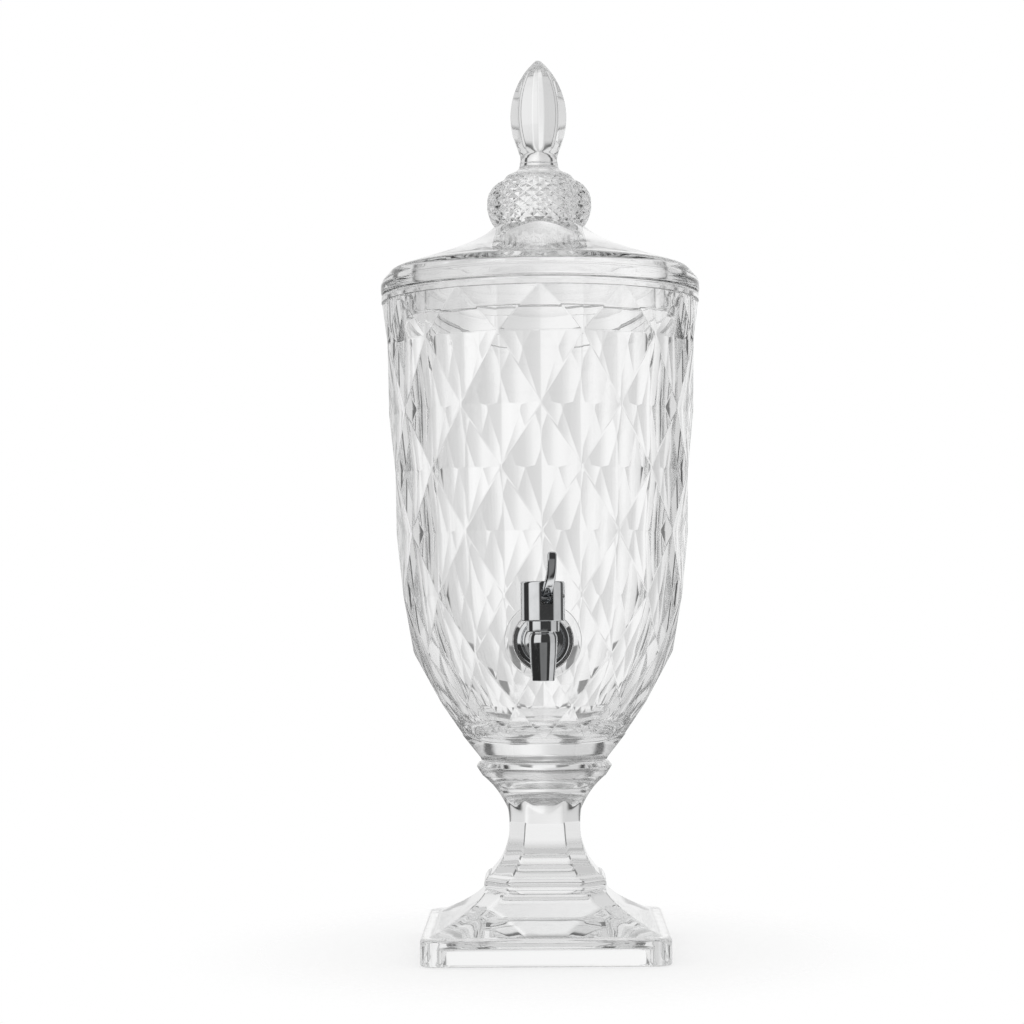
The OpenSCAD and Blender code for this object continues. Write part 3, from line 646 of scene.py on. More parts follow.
# Lid
def lid_cover_mesh():
    brim_r = RIM_D / 2 + BRIM_OVER - BOND
    brim_z = RIM_Z + BRIM_T
    shoulder = (brim_r - BRIM_CHAMFER_W, brim_z + BRIM_CHAMFER_H)
    seat_r = KNOP_SEAT_D / 2 + 1
    ring_r = jar_inner_r(RIM_Z) - RING_GAP
    ring_inner_r = ring_r - RING_T
    ring_low_z = RIM_Z - RING_DROP
    dome = (
        shoulder,
        (mix(shoulder[0], seat_r, 0.32), mix(shoulder[1], KNOP_Z, 0.28)),
        (seat_r + 10, mix(shoulder[1], KNOP_Z, 0.58)),
        (seat_r, KNOP_Z),
    )
    hollow = (
        (KNOP_WELL_D / 2, KNOP_Z),
        (seat_r - 6, mix(shoulder[1], KNOP_Z, 0.52) - DOME_T),
        (mix(shoulder[0], seat_r, 0.42), mix(shoulder[1], KNOP_Z, 0.22) - DOME_T),
        (ring_inner_r, shoulder[1] - DOME_T),
    )
    inside = bezier_path(hollow, 30)
    outside = bezier_path(dome, 40)[2:]
    # Sharp edges would trap light in the brim
    brim_round = 2.6
    edges = rounded([
        inside[-2], (ring_inner_r, shoulder[1] - DOME_T, 3.0), (ring_inner_r, ring_low_z, 1.6),
        (ring_r, ring_low_z, 1.6), (ring_r, RIM_Z, 0.8), (brim_r, RIM_Z, brim_round),
        (brim_r, brim_z, brim_round), (*shoulder, 2.0), outside[0]
    ])
    return lathe("lid_cover", inside[:-1] + edges[1:-1] + outside, 320)


def knop_mesh():
    count = 192
    seat_r = KNOP_SEAT_D / 2
    knop_r = KNOP_D / 2
    shoulder_r = KNOP_SHOULDER_D / 2
    wide_z = KNOP_Z + KNOP_CUT_H / 2
    cut_z = KNOP_Z + KNOP_CUT_H
    lower = (
        (seat_r, KNOP_Z - BOND),
        (mix(seat_r, knop_r, 0.7), mix(KNOP_Z, wide_z, 0.35)),
        (knop_r, mix(KNOP_Z, wide_z, 0.62)),
        (knop_r, wide_z),
    )
    upper = (
        (knop_r, wide_z),
        (knop_r, mix(wide_z, cut_z, 0.48)),
        (mix(shoulder_r, knop_r, 0.72), mix(wide_z, cut_z, 0.8)),
        (shoulder_r, cut_z),
    )
    path = bezier_path(lower, 5) + bezier_path(upper, 6)[1:]
    last = len(path) - 1
    rows = [(r, z, 0 if i in (0, last) else KNOP_RELIEF, i % 2) for i, (r, z) in enumerate(path)]
    neck_r = FINIAL_NECK_D / 2 + 0.4
    crown = rounded([
        (0, cut_z - 1), (shoulder_r - 0.6, cut_z - 1), (shoulder_r - 0.6, cut_z + 0.6, 0.3),
        (shoulder_r - 2, mix(cut_z, FINIAL_Z, 0.3), 2.0), (neck_r + 2.4, mix(cut_z, FINIAL_Z, 0.55), 3.0),
        (neck_r + 0.5, mix(cut_z, FINIAL_Z, 0.75), 2.0), (neck_r, FINIAL_Z, 0.5), (0, FINIAL_Z)
    ])
    well_r = KNOP_WELL_D / 2
    well = [(0, KNOP_Z - 1), (well_r, KNOP_Z - 1)]
    for turn in np.linspace(0, math.pi / 2, 24):
        well.append((well_r * math.cos(turn), KNOP_Z + KNOP_WELL_H * math.sin(turn)))
    return combined("lid_knop", facet_solid("lid_knop", rows, KNOP_LOZENGES, rounding=0.16), [
        ("UNION", lathe("crown", crown, count)),
        ("DIFFERENCE", lathe("well", well, count)),
    ])


def finial_mesh():
    count = 384
    bud_r = BUD_D / 2
    neck_r = FINIAL_NECK_D / 2
    wide_z = FINIAL_Z + BUD_WIDE_H
    tip_z = FINIAL_Z + FINIAL_H
    panel_z = FINIAL_Z + 5
    tip_r = 1.4
    lower = (
        (neck_r + 0.2, panel_z),
        (mix(neck_r, bud_r, 0.5), mix(panel_z, wide_z, 0.29)),
        (bud_r, mix(panel_z, wide_z, 0.58)),
        (bud_r, wide_z),
    )
    upper = (
        (bud_r, wide_z),
        (bud_r, mix(wide_z, tip_z, 0.42)),
        (bud_r * 0.57, mix(wide_z, tip_z, 0.79)),
        (tip_r, tip_z),
    )
    # Flat panels cut into a round bud, with ribs between them; the cuts run out above the neck
    step = 2 * np.pi / BUD_PANELS
    from_middle = (front_steps(count) + np.pi / 2) % step - step / 2
    panel = math.cos(step / 2) / np.cos(from_middle)
    foot = rounded([
        (neck_r - 2, FINIAL_Z - BOND), (neck_r + 0.4, FINIAL_Z - BOND, 0.3),
        (neck_r + 0.4, FINIAL_Z + 0.8, 0.4), (neck_r, FINIAL_Z + 2, 0.8), (neck_r, panel_z - 0.5)
    ])
    rings = round_rings(foot[:-1], count)
    run_out = 5.0
    rib_sharpness = 300
    for r, z in bezier_path(lower, 30) + bezier_path(upper, 44)[1:]:
        depth = min(max((z - panel_z) / run_out, 0), 1)
        cut = mix(1.0, soft_least(panel, np.ones(count), rib_sharpness), depth * depth * (3 - 2 * depth))
        rings.append(polar(r * cut, z))
    return skin("lid_finial", rings, (0, 0, FINIAL_Z - BOND), (0, 0, tip_z))


# Tap: heights and distances are from the crossing of the chamber's and the shank's axes
BONNET_Z = TAP_COLLAR_Z + TAP_COLLAR_H
BONNET_R = BONNET_D / 2
BONNET_TOP_Z = BONNET_Z + BONNET_H
THREAD_NECK_R = TAP_COLLAR_D / 2 - 0.6
NECK_END_Z = BONNET_Z + NECK_THREAD_H
GLAND_Z = BONNET_Z + GLAND_H
GLAND_TOP_Z = GLAND_Z + GLAND_T
FORK_REACH = PIVOT_OUT / math.cos(LEVER_SWING / 2)
FORK_FALL = FORK_REACH * math.sin(LEVER_SWING / 2)
PIVOT_Z = GLAND_TOP_Z + FORK_CLEAR + FORK_D / 2 + FORK_FALL
LIFT_Z = PIVOT_Z - FORK_FALL + FORK_D / 2 + LIFT_GAP
SLOT_W = LEVER_W + 2 * SLOT_CLEAR
SLOT_BACK = FORK_REACH - PIVOT_OUT + FORK_D + 1.2
PIN_LEFT = SLOT_W / 2 + 4
PIN_RIGHT = math.sqrt(BONNET_R**2 - PIVOT_OUT**2) - 0.3
CUP_LOW_Z = -SEAT_DROP
SKIRT_Z = INLET_D / 2 + 1
CUP_TOP_Z = SKIRT_Z + SKIRT_H
SPRING_LOW_Z = CUP_TOP_Z + STEM_COLLAR_T
BARB_Z = CUP_LOW_Z + 1.8
BARB_H = 1.2
BARB_R = STEM_FOOT_D / 2 + 0.6
SHANK_R = SHANK_D / 2
SHANK_END = TAP_Y - INNER_BOSS_Y + WASHER_T + SLIP_T + NUT_T + SHANK_SPARE
AT_PIVOT = Matrix.Translation((0, -PIVOT_OUT * MM, PIVOT_Z * MM))
ACROSS = Matrix.Rotation(math.pi / 2, 4, "Y")
AT_PIN = AT_PIVOT @ ACROSS


def thread_rings(root_r, start, end, count):
    """Rings over a helical thread that fades in and out over one pitch at its ends."""
    steps_a_turn = 12
    foot_half = 0.45  # half a ridge's foot and the run of its flank, as shares of the pitch
    flank = 0.3
    turn = np.arange(count) / count
    rings = []
    for z in np.arange(start, end, THREAD_PITCH / steps_a_turn):
        from_crest = np.abs(((z - start) / THREAD_PITCH - turn) % 1 - 0.5)
        height = np.clip((foot_half - from_crest) / flank, 0, 1)
        fade = min((z - start) / THREAD_PITCH, (end - z) / THREAD_PITCH, 1)
        rings.append(polar(root_r + THREAD_DEPTH * fade * height, z))
    return rings


def tap_body_mesh():
    count = 144
    chamber_r = CHAMBER_D / 2
    groove_r = chamber_r - GROOVE_DEPTH
    collar_r = TAP_COLLAR_D / 2
    spout_r = SPOUT_D / 2
    tube_r = TUBE_D / 2
    flange_r = FLANGE_D / 2
    bullet = (
        (spout_r, -SPOUT_DROP),
        (mix(spout_r, chamber_r, 0.42), mix(-SPOUT_DROP, 0, 0.36)),
        (mix(spout_r, chamber_r, 0.8), mix(-SPOUT_DROP, 0, 0.7)),
        (chamber_r, 0),
    )
    crown = (
        (chamber_r, 0),
        (chamber_r, TAP_COLLAR_Z * 0.5),
        (mix(groove_r, chamber_r, 0.6), TAP_COLLAR_Z - 0.9),
        (groove_r, TAP_COLLAR_Z - 0.7),
    )
    outline = [(0, -SPOUT_DROP), (spout_r, -SPOUT_DROP, 0.5)]
    outline += bezier_path(bullet, 28)[2:] + bezier_path(crown, 14)[1:]
    outline += [
        (groove_r, TAP_COLLAR_Z, 0.15), (collar_r, TAP_COLLAR_Z, 0.5), (collar_r, BONNET_Z, 0.4),
        (THREAD_NECK_R, BONNET_Z), (THREAD_NECK_R, NECK_END_Z, 0.5), (0, NECK_END_Z)
    ]
    # The flange is dished, with a rounded bead at its edge
    dish = (
        (tube_r, TAP_REACH - 6),
        (tube_r, TAP_REACH - 3.6),
        (mix(tube_r, flange_r, 0.3), TAP_REACH - 2.4),
        (flange_r - 3.6, TAP_REACH - 2.2),
    )
    tube_start = CHAMBER_BORE_D / 4
    root_r = SHANK_R - THREAD_DEPTH
    front = [(tube_r, tube_start)] + bezier_path(dish, 16)
    front += [
        (flange_r - 3.2, TAP_REACH - 2.0, 0.2), (flange_r - 2.4, TAP_REACH - 2.7, 0.9),
        (flange_r, TAP_REACH - FLANGE_EDGE_T, 1.2), (flange_r, TAP_REACH, 0.3), (root_r, TAP_REACH)
    ]
    rings = round_rings(rounded(front), count)
    rings += thread_rings(root_r, TAP_REACH + WASHER_T, SHANK_END - 1, count)
    rings += round_rings([(root_r, SHANK_END - 0.6), (root_r - 0.5, SHANK_END)], count)
    shank = skin("shank", rings, (0, 0, tube_start), (0, 0, SHANK_END))
    inlet = cylinder("inlet", INLET_D / 2, tube_start, SHANK_END + 1)
    body = combined("tap_body", lathe("spout", rounded(outline), count), [
        ("UNION", placed(shank, INWARD)),
        ("DIFFERENCE", cylinder("chamber", CHAMBER_BORE_D / 2, -SEAT_DROP, NECK_END_Z + 1)),
        ("DIFFERENCE", cylinder("outlet", OUTLET_D / 2, -SPOUT_DROP - 1, 0)),
        ("DIFFERENCE", placed(inlet, INWARD)),
    ])
    return placed(body, AT_TAP)


def bonnet_mesh():
    outline = bar_outline(BONNET_R, BONNET_Z, BONNET_TOP_Z, 0.5, BONNET_ROUND, steps=8)
    half_slot = SLOT_W / 2
    groove_z = BONNET_Z + 2.5
    above_z = BONNET_TOP_Z + 1
    turn = Matrix.Rotation(LEVER_TURN, 4, "Z")
    slot = block("slot", (-half_slot, -BONNET_D, GLAND_TOP_Z), (half_slot, SLOT_BACK, above_z))
    groove = block("groove", (-half_slot, -BONNET_D, groove_z), (half_slot, SLOT_GROOVE - BONNET_R, above_z))
    pin_hole = placed(cylinder("pin_hole", PIN_D / 2 + PRESS_CLEAR, -PIN_LEFT, BONNET_D, 48), AT_PIN)
    bonnet = combined("tap_bonnet", lathe("bonnet", outline, 216), [
        ("DIFFERENCE", cylinder("neck_bore", THREAD_NECK_R + THREAD_CLEAR, BONNET_Z - 1, GLAND_Z)),
        ("DIFFERENCE", cylinder("stem_bore", STEM_D / 2 + SLIDE_CLEAR, 0, above_z, 48)),
        ("DIFFERENCE", placed(slot, turn)),
        ("DIFFERENCE", placed(groove, turn)),
        ("DIFFERENCE", placed(pin_hole, turn)),
    ])
    return placed(bonnet, AT_TAP)


def soft_bar(name, sections, tip=None):
    """A bar through sections of (distance in front, height, direction, half width, half thickness), with
    softly squared sides. The direction is the bar's own, as (in front, up)."""
    squareness = 2 / 4.5
    angle = round_steps(56)
    across = np.sign(np.cos(angle)) * np.abs(np.cos(angle)) ** squareness
    through = np.sign(np.sin(angle)) * np.abs(np.sin(angle)) ** squareness
    rings = []
    for out, z, (ahead, up), half_w, half_t in sections:
        length = math.hypot(ahead, up)
        side = through * half_t / length
        rings.append(np.stack([across * half_w, side * up - out, side * ahead + z], axis=1))
    first, last = sections[0], sections[-1]
    start = (0, -first[0], first[1])
    end = tip if tip is not None else (0, -last[0], last[1])
    return skin(name, rings, start, end)


def lever_mesh():
    tip_r = LEVER_TIP_T / 2
    tip = (TIP_OUT, BONNET_TOP_Z + TIP_H - tip_r)
    climb = LEVER_SWING - math.radians(7)
    reach = 10.0
    arm = (
        (PIVOT_OUT, PIVOT_Z),
        (PIVOT_OUT + reach * math.cos(climb), PIVOT_Z + reach * math.sin(climb)),
        (TIP_OUT, mix(PIVOT_Z, BONNET_TOP_Z + TIP_H, 0.3)),
        tip,
    )
    half_w = LEVER_W / 2
    # The finger narrows a little and ends in a round tip
    tip_share = 0.9
    sections = []
    steps = 30
    for i in range(steps + 1):
        t = i / steps
        here = bezier(arm, t)
        along = bezier(arm, min(t + 0.01, 1)) - bezier(arm, max(t - 0.01, 0))
        width = half_w * mix(1.0, tip_share, t)
        sections.append((here[0], here[1], tuple(along), width, mix(LEVER_ROOT_T, LEVER_TIP_T, t) / 2))
    for turn in np.linspace(0, math.pi / 2, 9)[1:-1]:
        narrow = math.cos(turn)
        z = tip[1] + tip_r * math.sin(turn)
        sections.append((TIP_OUT, z, (0, 1), half_w * tip_share * narrow**0.6, tip_r * narrow))
    finger = soft_bar("finger", sections, (0, -TIP_OUT, tip[1] + tip_r))
    # Behind the pivot the fork straddles the stem, under its collar
    fall = LEVER_SWING / 2
    back = (-math.cos(fall), -math.sin(fall))
    fork = []
    for d in np.linspace(0, FORK_REACH, 8):
        fork.append((PIVOT_OUT + back[0] * d, PIVOT_Z + back[1] * d, back, half_w, FORK_T / 2))
    hub = bar_outline(HUB_D / 2, -half_w, half_w, 0.5, 0.5)
    fork_end = bar_outline(FORK_D / 2, -half_w, half_w, 0.4, 0.4)
    at_fork = Matrix.Translation((0, -(PIVOT_OUT + back[0] * FORK_REACH) * MM, (PIVOT_Z - FORK_FALL) * MM))
    slot_half = STEM_D / 2 + FORK_SLOT_CLEAR
    slot_start = PIVOT_OUT - STEM_D / 2 / math.cos(fall) - 0.4
    slot_end = slot_start + FORK_REACH
    stem_slot = block("stem_slot", (-slot_half, slot_start, -FORK_D), (slot_half, slot_end, FORK_D))
    bore = cylinder("bore", PIN_D / 2 + PIVOT_CLEAR, -LEVER_W, LEVER_W, 64)
    lever = combined("tap_lever", placed(lathe("hub", hub, 96), AT_PIN), [
        ("UNION", finger),
        ("UNION", soft_bar("fork", fork)),
        ("UNION", placed(lathe("fork_end", fork_end, 64), at_fork @ ACROSS)),
        ("DIFFERENCE", placed(bore, AT_PIN)),
        ("DIFFERENCE", placed(stem_slot, AT_PIVOT @ Matrix.Rotation(-fall, 4, "X"))),
    ])
    return placed(lever, AT_LEVER)


def pin_mesh():
    outline = bar_outline(PIN_D / 2, PRESS_CLEAR - PIN_LEFT, PIN_RIGHT, 0.35, 0.35)
    return placed(lathe("lever_pin", outline, 64), AT_LEVER @ AT_PIVOT @ ACROSS)


def stem_mesh():
    foot_r = STEM_FOOT_D / 2
    stem_r = STEM_D / 2
    collar_r = STEM_COLLAR_D / 2
    barb_top = BARB_Z + BARB_H
    stem_top = LIFT_Z + LIFT_T
    outline = rounded([
        (0, BARB_Z), (foot_r, BARB_Z, 0.3), (BARB_R, barb_top - 0.3, 0.1), (BARB_R, barb_top, 0.1),
        (foot_r, barb_top), (foot_r, CUP_TOP_Z), (collar_r, CUP_TOP_Z, 0.3), (collar_r, SPRING_LOW_Z, 0.3),
        (stem_r, SPRING_LOW_Z, 0.2), (stem_r, stem_top, 0.3), (0, stem_top)
    ])
    return placed(lathe("plunger_stem", outline, 96), AT_TAP)


def lift_collar_mesh():
    inner_r = STEM_D / 2 + PRESS_CLEAR
    outer_r = LIFT_D / 2
    top_z = LIFT_Z + LIFT_T
    return placed(lathe("lift_collar", tube_outline(inner_r, outer_r, LIFT_Z, top_z, 0.25), 96), AT_TAP)


def seat_cup_mesh():
    hole_r = STEM_FOOT_D / 2 + PRESS_CLEAR
    pocket_r = BARB_R + PRESS_CLEAR
    pocket_z = BARB_Z + BARB_H + PRESS_CLEAR
    plug_r = PLUG_D / 2
    waist_r = CUP_WAIST_D / 2
    skirt_r = CHAMBER_BORE_D / 2 - SLIDE_CLEAR
    plug_top_z = CUP_LOW_Z + PLUG_H
    outline = rounded([
        (0, CUP_LOW_Z), (plug_r - 0.4, CUP_LOW_Z, 0.4), (plug_r, CUP_LOW_Z + 0.6, 0.4),
        (plug_r, plug_top_z, 0.6), (waist_r, plug_top_z + 0.9, 0.8), (waist_r, SKIRT_Z - 0.9, 0.8),
        (skirt_r, SKIRT_Z, 0.4),
        (skirt_r, CUP_TOP_Z, 0.3), (hole_r, CUP_TOP_Z, 0.2), (hole_r, pocket_z), (pocket_r, pocket_z),
        (pocket_r, BARB_Z - PRESS_CLEAR), (0, BARB_Z - PRESS_CLEAR)
    ])
    return placed(lathe("seat_cup", outline, 96), AT_TAP)


def spring_mesh():
    """Wire wound from the stem's collar up to the gland, its ends rounded."""
    sides = 16
    steps = SPRING_TURNS * 48
    wire_r = WIRE_D / 2
    low = SPRING_LOW_Z + SPRING_CLEAR + wire_r
    high = GLAND_Z - SPRING_CLEAR - wire_r
    slope = math.atan2(high - low, SPRING_TURNS * math.pi * SPRING_D)
    around = round_steps(sides)
    end_share = 0.7  # of the wire's thickness, where it is cut
    rings = []
    for i in range(steps + 1):
        t = i / steps
        turn = 2 * math.pi * SPRING_TURNS * t
        out = np.array([math.cos(turn), math.sin(turn), 0])
        up = np.array([math.sin(turn) * math.sin(slope), -math.cos(turn) * math.sin(slope), math.cos(slope)])
        centre = out * SPRING_D / 2 + np.array([0, 0, mix(low, high, t)])
        thick = wire_r * (end_share if i in (0, steps) else 1.0)
        rings.append(centre + thick * (np.outer(np.cos(around), out) - np.outer(np.sin(around), up)))
    start, end = [tuple(ring.mean(axis=0)) for ring in (rings[0], rings[-1])]
    return placed(skin("return_spring", rings, start, end), AT_TAP)


# Washers and nut, stacked along the shank
def on_shank(y):
    return ALONG_SHANK @ Matrix.Translation((0, 0, (TAP_Y - y) * MM))


def washer_mesh(name, diameter, thickness, y, rounding):
    outline = tube_outline(SHANK_R + WASHER_CLEAR, diameter / 2, 0, thickness, rounding)
    return placed(lathe(name, outline, 128), on_shank(y))


def nut_mesh():
    """A hexagon nut with chamfered corners."""
    count = 240
    half = NUT_W / 2
    sixth = math.pi / 3
    corner_r = half / math.cos(sixth / 2)
    flats = half / np.cos((round_steps(count) + sixth / 2) % sixth - sixth / 2)
    hexagon = soft_least(flats, np.full(count, corner_r - 0.2))
    bore_r = SHANK_R + THREAD_CLEAR
    chamfer = 1.2
    ease = 0.4
    bore = [(bore_r, NUT_T - ease), (bore_r, NUT_T / 2), (bore_r, ease), (bore_r + ease, 0)]
    rings = round_rings(bore, count)
    limits = ((0, half - ease), (chamfer, corner_r), (NUT_T - chamfer, corner_r), (NUT_T, half - ease))
    for z, limit in limits:
        rings.append(polar(np.minimum(hexagon, limit), z))
    rings += round_rings([(bore_r + ease, NUT_T)], count)
    return placed(skin("shank_nut", rings, closed=True), on_shank(INNER_BOSS_Y - WASHER_T - SLIP_T))


# Materials
def add_node(tree, kind, inputs=None, **settings):
    """A new node with these settings. An input gets a value, or a link where it is given a socket."""
    node = tree.nodes.new("ShaderNode" + kind)
    for name, value in settings.items():
        setattr(node, name, value)
    for name, value in (inputs or {}).items():
        if isinstance(value, bpy.types.NodeSocket):
            tree.links.new(value, node.inputs[name])
        else:
            node.inputs[name].default_value = value
    return node


def new_material(name, inputs):
    """A material with its node tree, its shader with these inputs, and its output."""
    material = bpy.data.materials.new(name)
    material.use_nodes = True
    tree = material.node_tree
    tree.nodes.clear()
    shader = add_node(tree, "BsdfPrincipled", inputs)
    output = add_node(tree, "OutputMaterial", {"Surface": shader.outputs["BSDF"]})
    return material, tree, shader, output


def noise(tree, scale, detail, stretch=(1, 1, 1)):
    """Noise over the object's own coordinates; scale counts features in a metre."""
    place = add_node(tree, "TexCoord").outputs["Object"]
    mapping = add_node(tree, "Mapping", {"Vector": place, "Scale": stretch}).outputs["Vector"]
    inputs = {"Vector": mapping, "Scale": scale, "Detail": detail}
    return add_node(tree, "TexNoise", inputs).outputs["Fac"]


def stretched(tree, value, low, high, to_low=0.0, to_high=1.0, kind="LINEAR"):
    """The range from low to high, stretched to another range."""
    limits = {"From Min": low, "From Max": high, "To Min": to_low, "To Max": to_high}
    node = add_node(tree, "MapRange", {"Value": value, **limits}, interpolation_type=kind)
    return node.outputs["Result"]


def spread(tree, value, low, high):
    """Noise, most of which lies between 0.3 and 0.7, stretched over the range from low to high."""
    return stretched(tree, value, 0.3, 0.7, low, high)


def tint(tree, value, dark, light):
    """A colour between two, by noise."""
    inputs = {"Factor": spread(tree, value, 0, 1), "A": (*dark, 1), "B": (*light, 1)}
    return add_node(tree, "Mix", inputs, data_type="RGBA").outputs["Result"]


def bump(tree, height, distance_m, strength):
    """A normal that follows a height."""
    inputs = {"Height": height, "Distance": distance_m, "Strength": strength}
    return add_node(tree, "Bump", inputs).outputs["Normal"]


def finish(tree, shader, rough, relief, colour=None):
    """Varies a shader's roughness, normal and colour by noise. Each is the noise and then two values."""
    tree.links.new(spread(tree, *rough), shader.inputs["Roughness"])
    tree.links.new(bump(tree, *relief), shader.inputs["Normal"])
    if colour is not None:
        tree.links.new(tint(tree, *colour), shader.inputs["Base Color"])


def clear_glass():
    """Pressed glass, fire polished: a faint waviness, a trace of haze and a grey body in thick places."""
    settings = {"Base Color": (1, 1, 1, 1), "Transmission Weight": 1, "IOR": 1.5}
    material, tree, shader, output = new_material("clear_glass", settings)
    waves = noise(tree, 70, 1.5)
    grain = noise(tree, 900, 2)
    finish(tree, shader, (grain, 0.0, 0.012), (waves, 0.0006, 0.1))
    body = add_node(tree, "VolumeAbsorption", {"Color": (0.82, 0.825, 0.825, 1), "Density": 3.5})
    tree.links.new(body.outputs["Volume"], output.inputs["Volume"])
    return material


def chrome_plate():
    material, tree, shader, _ = new_material("chrome_plate", {"Metallic": 1})
    cloud = noise(tree, 220, 3)
    scratches = noise(tree, 900, 4, (1, 1, 0.12))
    colour = (cloud, (0.72, 0.73, 0.74), (0.80, 0.81, 0.82))
    finish(tree, shader, (scratches, 0.03, 0.09), (cloud, 0.0002, 0.05), colour)
    return material


def stainless():
    material, tree, shader, _ = new_material("stainless", {"Metallic": 1})
    drawn = noise(tree, 1500, 4, (0.08, 1, 1))
    colour = (drawn, (0.52, 0.52, 0.51), (0.66, 0.66, 0.65))
    finish(tree, shader, (drawn, 0.18, 0.34), (drawn, 0.0001, 0.15), colour)
    return material


def acetal():
    settings = {"Subsurface Weight": 0.15, "Subsurface Radius": (0.002, 0.002, 0.002)}
    material, tree, shader, _ = new_material("acetal", settings)
    cloud = noise(tree, 160, 3)
    pits = noise(tree, 2600, 2)
    colour = (cloud, (0.80, 0.80, 0.78), (0.88, 0.88, 0.86))
    finish(tree, shader, (pits, 0.32, 0.48), (pits, 0.0001, 0.2), colour)
    return material


def silicone():
    settings = {"Base Color": (0.97, 0.97, 0.97, 1), "Transmission Weight": 0.9, "IOR": 1.41}
    material, tree, shader, _ = new_material("silicone", settings)
    cloud = noise(tree, 240, 3)
    finish(tree, shader, (cloud, 0.10, 0.28), (cloud, 0.0002, 0.15))
    return material


MATERIALS = {
    "clear_glass": clear_glass(),
    "chrome_plate": chrome_plate(),
    "stainless": stainless(),
    "acetal": acetal(),
    "silicone": silicone(),
}

add_piece("jar_glass", flat_facets(vessel_mesh()), "urn", "vessel", "clear_glass")
add_piece("pedestal_glass", shade(pedestal_mesh()), "urn", "pedestal", "clear_glass")
add_piece("lid_glass", shade(lid_cover_mesh()), "lid", "lid_cover", "clear_glass")
add_piece("knop_glass", flat_facets(knop_mesh()), "lid", "lid_knop", "clear_glass")
add_piece("finial_glass", shade(finial_mesh()), "lid", "lid_finial", "clear_glass")

add_piece("tap_casting", shade(tap_body_mesh()), "urn", "tap_body", "chrome_plate")
add_piece("tap_cap", shade(bonnet_mesh()), "urn", "tap_bonnet", "chrome_plate")
add_piece("lever_finger", shade(lever_mesh()), "lever", "tap_lever", "chrome_plate")
add_piece("pivot_pin", shade(pin_mesh()), "urn", "lever_pin", "stainless")
add_piece("valve_stem", shade(stem_mesh()), "plunger", "plunger_stem", "acetal")
add_piece("stem_collar", shade(lift_collar_mesh()), "plunger", "lift_collar", "stainless")
add_piece("valve_cup", shade(seat_cup_mesh()), "plunger", "seat_cup", "silicone")
add_piece("front_washer", shade(washer_mesh("outer_washer", OUTER_WASHER_D, WASHER_T, FLANGE_Y, 0.5)),
          "urn", "outer_washer", "silicone")
add_piece("back_washer", shade(washer_mesh("inner_washer", INNER_WASHER_D, WASHER_T, INNER_BOSS_Y, 0.5)),
          "urn", "inner_washer", "silicone")
add_piece("thrust_washer", shade(washer_mesh("slip_washer", SLIP_D, SLIP_T, INNER_BOSS_Y - WASHER_T, 0.25)),
          "urn", "slip_washer", "acetal")
add_piece("clamp_nut", shade(nut_mesh()), "urn", "shank_nut", "acetal")

# The spring is pressed together towards the gland as the plunger rises, so it gets a mesh of its own
spring = add_piece("closing_spring", shade(spring_mesh()), "urn", "return_spring", "stainless")
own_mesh(spring)


# Stage. Directions are in degrees from behind the object, right side positive.
# Through glass: a white sheet that is whiter on the right, and dark gaps at its sides that draw the edges
SHEET = (
    (-180, 0.78), (-122, 0.84), (-118, 0.15), (-113, 0.15), (-109, 0.80), (-72, 0.80), (-68, 0.15),
    (-62, 0.15), (-58, 0.74), (-39, 0.74), (-35, 0.06), (-30, 0.06), (-26, 0.66), (-9, 0.70), (-4, 0.75),
    (-1, 0.82), (2, 0.95), (6, 0.98), (10, 0.97), (26, 0.76), (30, 0.06), (35, 0.06), (39, 0.74), (58, 0.74),
    (62, 0.15), (68, 0.15), (72, 0.82), (109, 0.82), (113, 0.18), (118, 0.18), (122, 0.85), (180, 0.78),
)
AZIMUTH_REACH = 180
HEIGHT_REACH = 90


def strength_by(tree, value, reach, stops):
    """Light strength over a value from -reach to reach, as (value, strength) stops."""
    cards = add_node(tree, "ValToRGB", {"Fac": stretched(tree, value, -reach, reach)})
    elements = cards.color_ramp.elements
    while len(elements) < len(stops):
        elements.new(0.5)
    for element, (place, strength) in zip(elements, stops):
        element.position = (place + reach) / (2 * reach)
        element.color = (strength, strength, strength, 1)
    return cards.outputs["Color"]


def math_node(tree, operation, *values):
    return add_node(tree, "Math", dict(enumerate(values)), operation=operation).outputs["Value"]


def degrees_from_behind(tree, vector):
    """Azimuth and height of a direction, in degrees."""
    split = add_node(tree, "SeparateXYZ", {"Vector": vector}).outputs
    azimuth = math_node(tree, "ARCTAN2", split["X"], split["Y"])
    height = math_node(tree, "ARCSINE", split["Z"])
    return [math_node(tree, "MULTIPLY", angle, 180 / math.pi) for angle in (azimuth, height)]


def choose(tree, share, first, second):
    """The first value, or the second where share is 1."""
    inputs = {"Factor": share, "A": first, "B": second}
    return add_node(tree, "Mix", inputs, data_type="FLOAT").outputs["Result"]


def blend_shaders(tree, share, first, second):
    """The first shader, or the second where share is 1."""
    return add_node(tree, "MixShader", {"Fac": share, 1: first, 2: second}).outputs["Shader"]


def rise(tree, value, low, high):
    """A smooth rise from 0 to 1 as a value goes from low to high."""
    return stretched(tree, value, low, high, kind="SMOOTHSTEP")


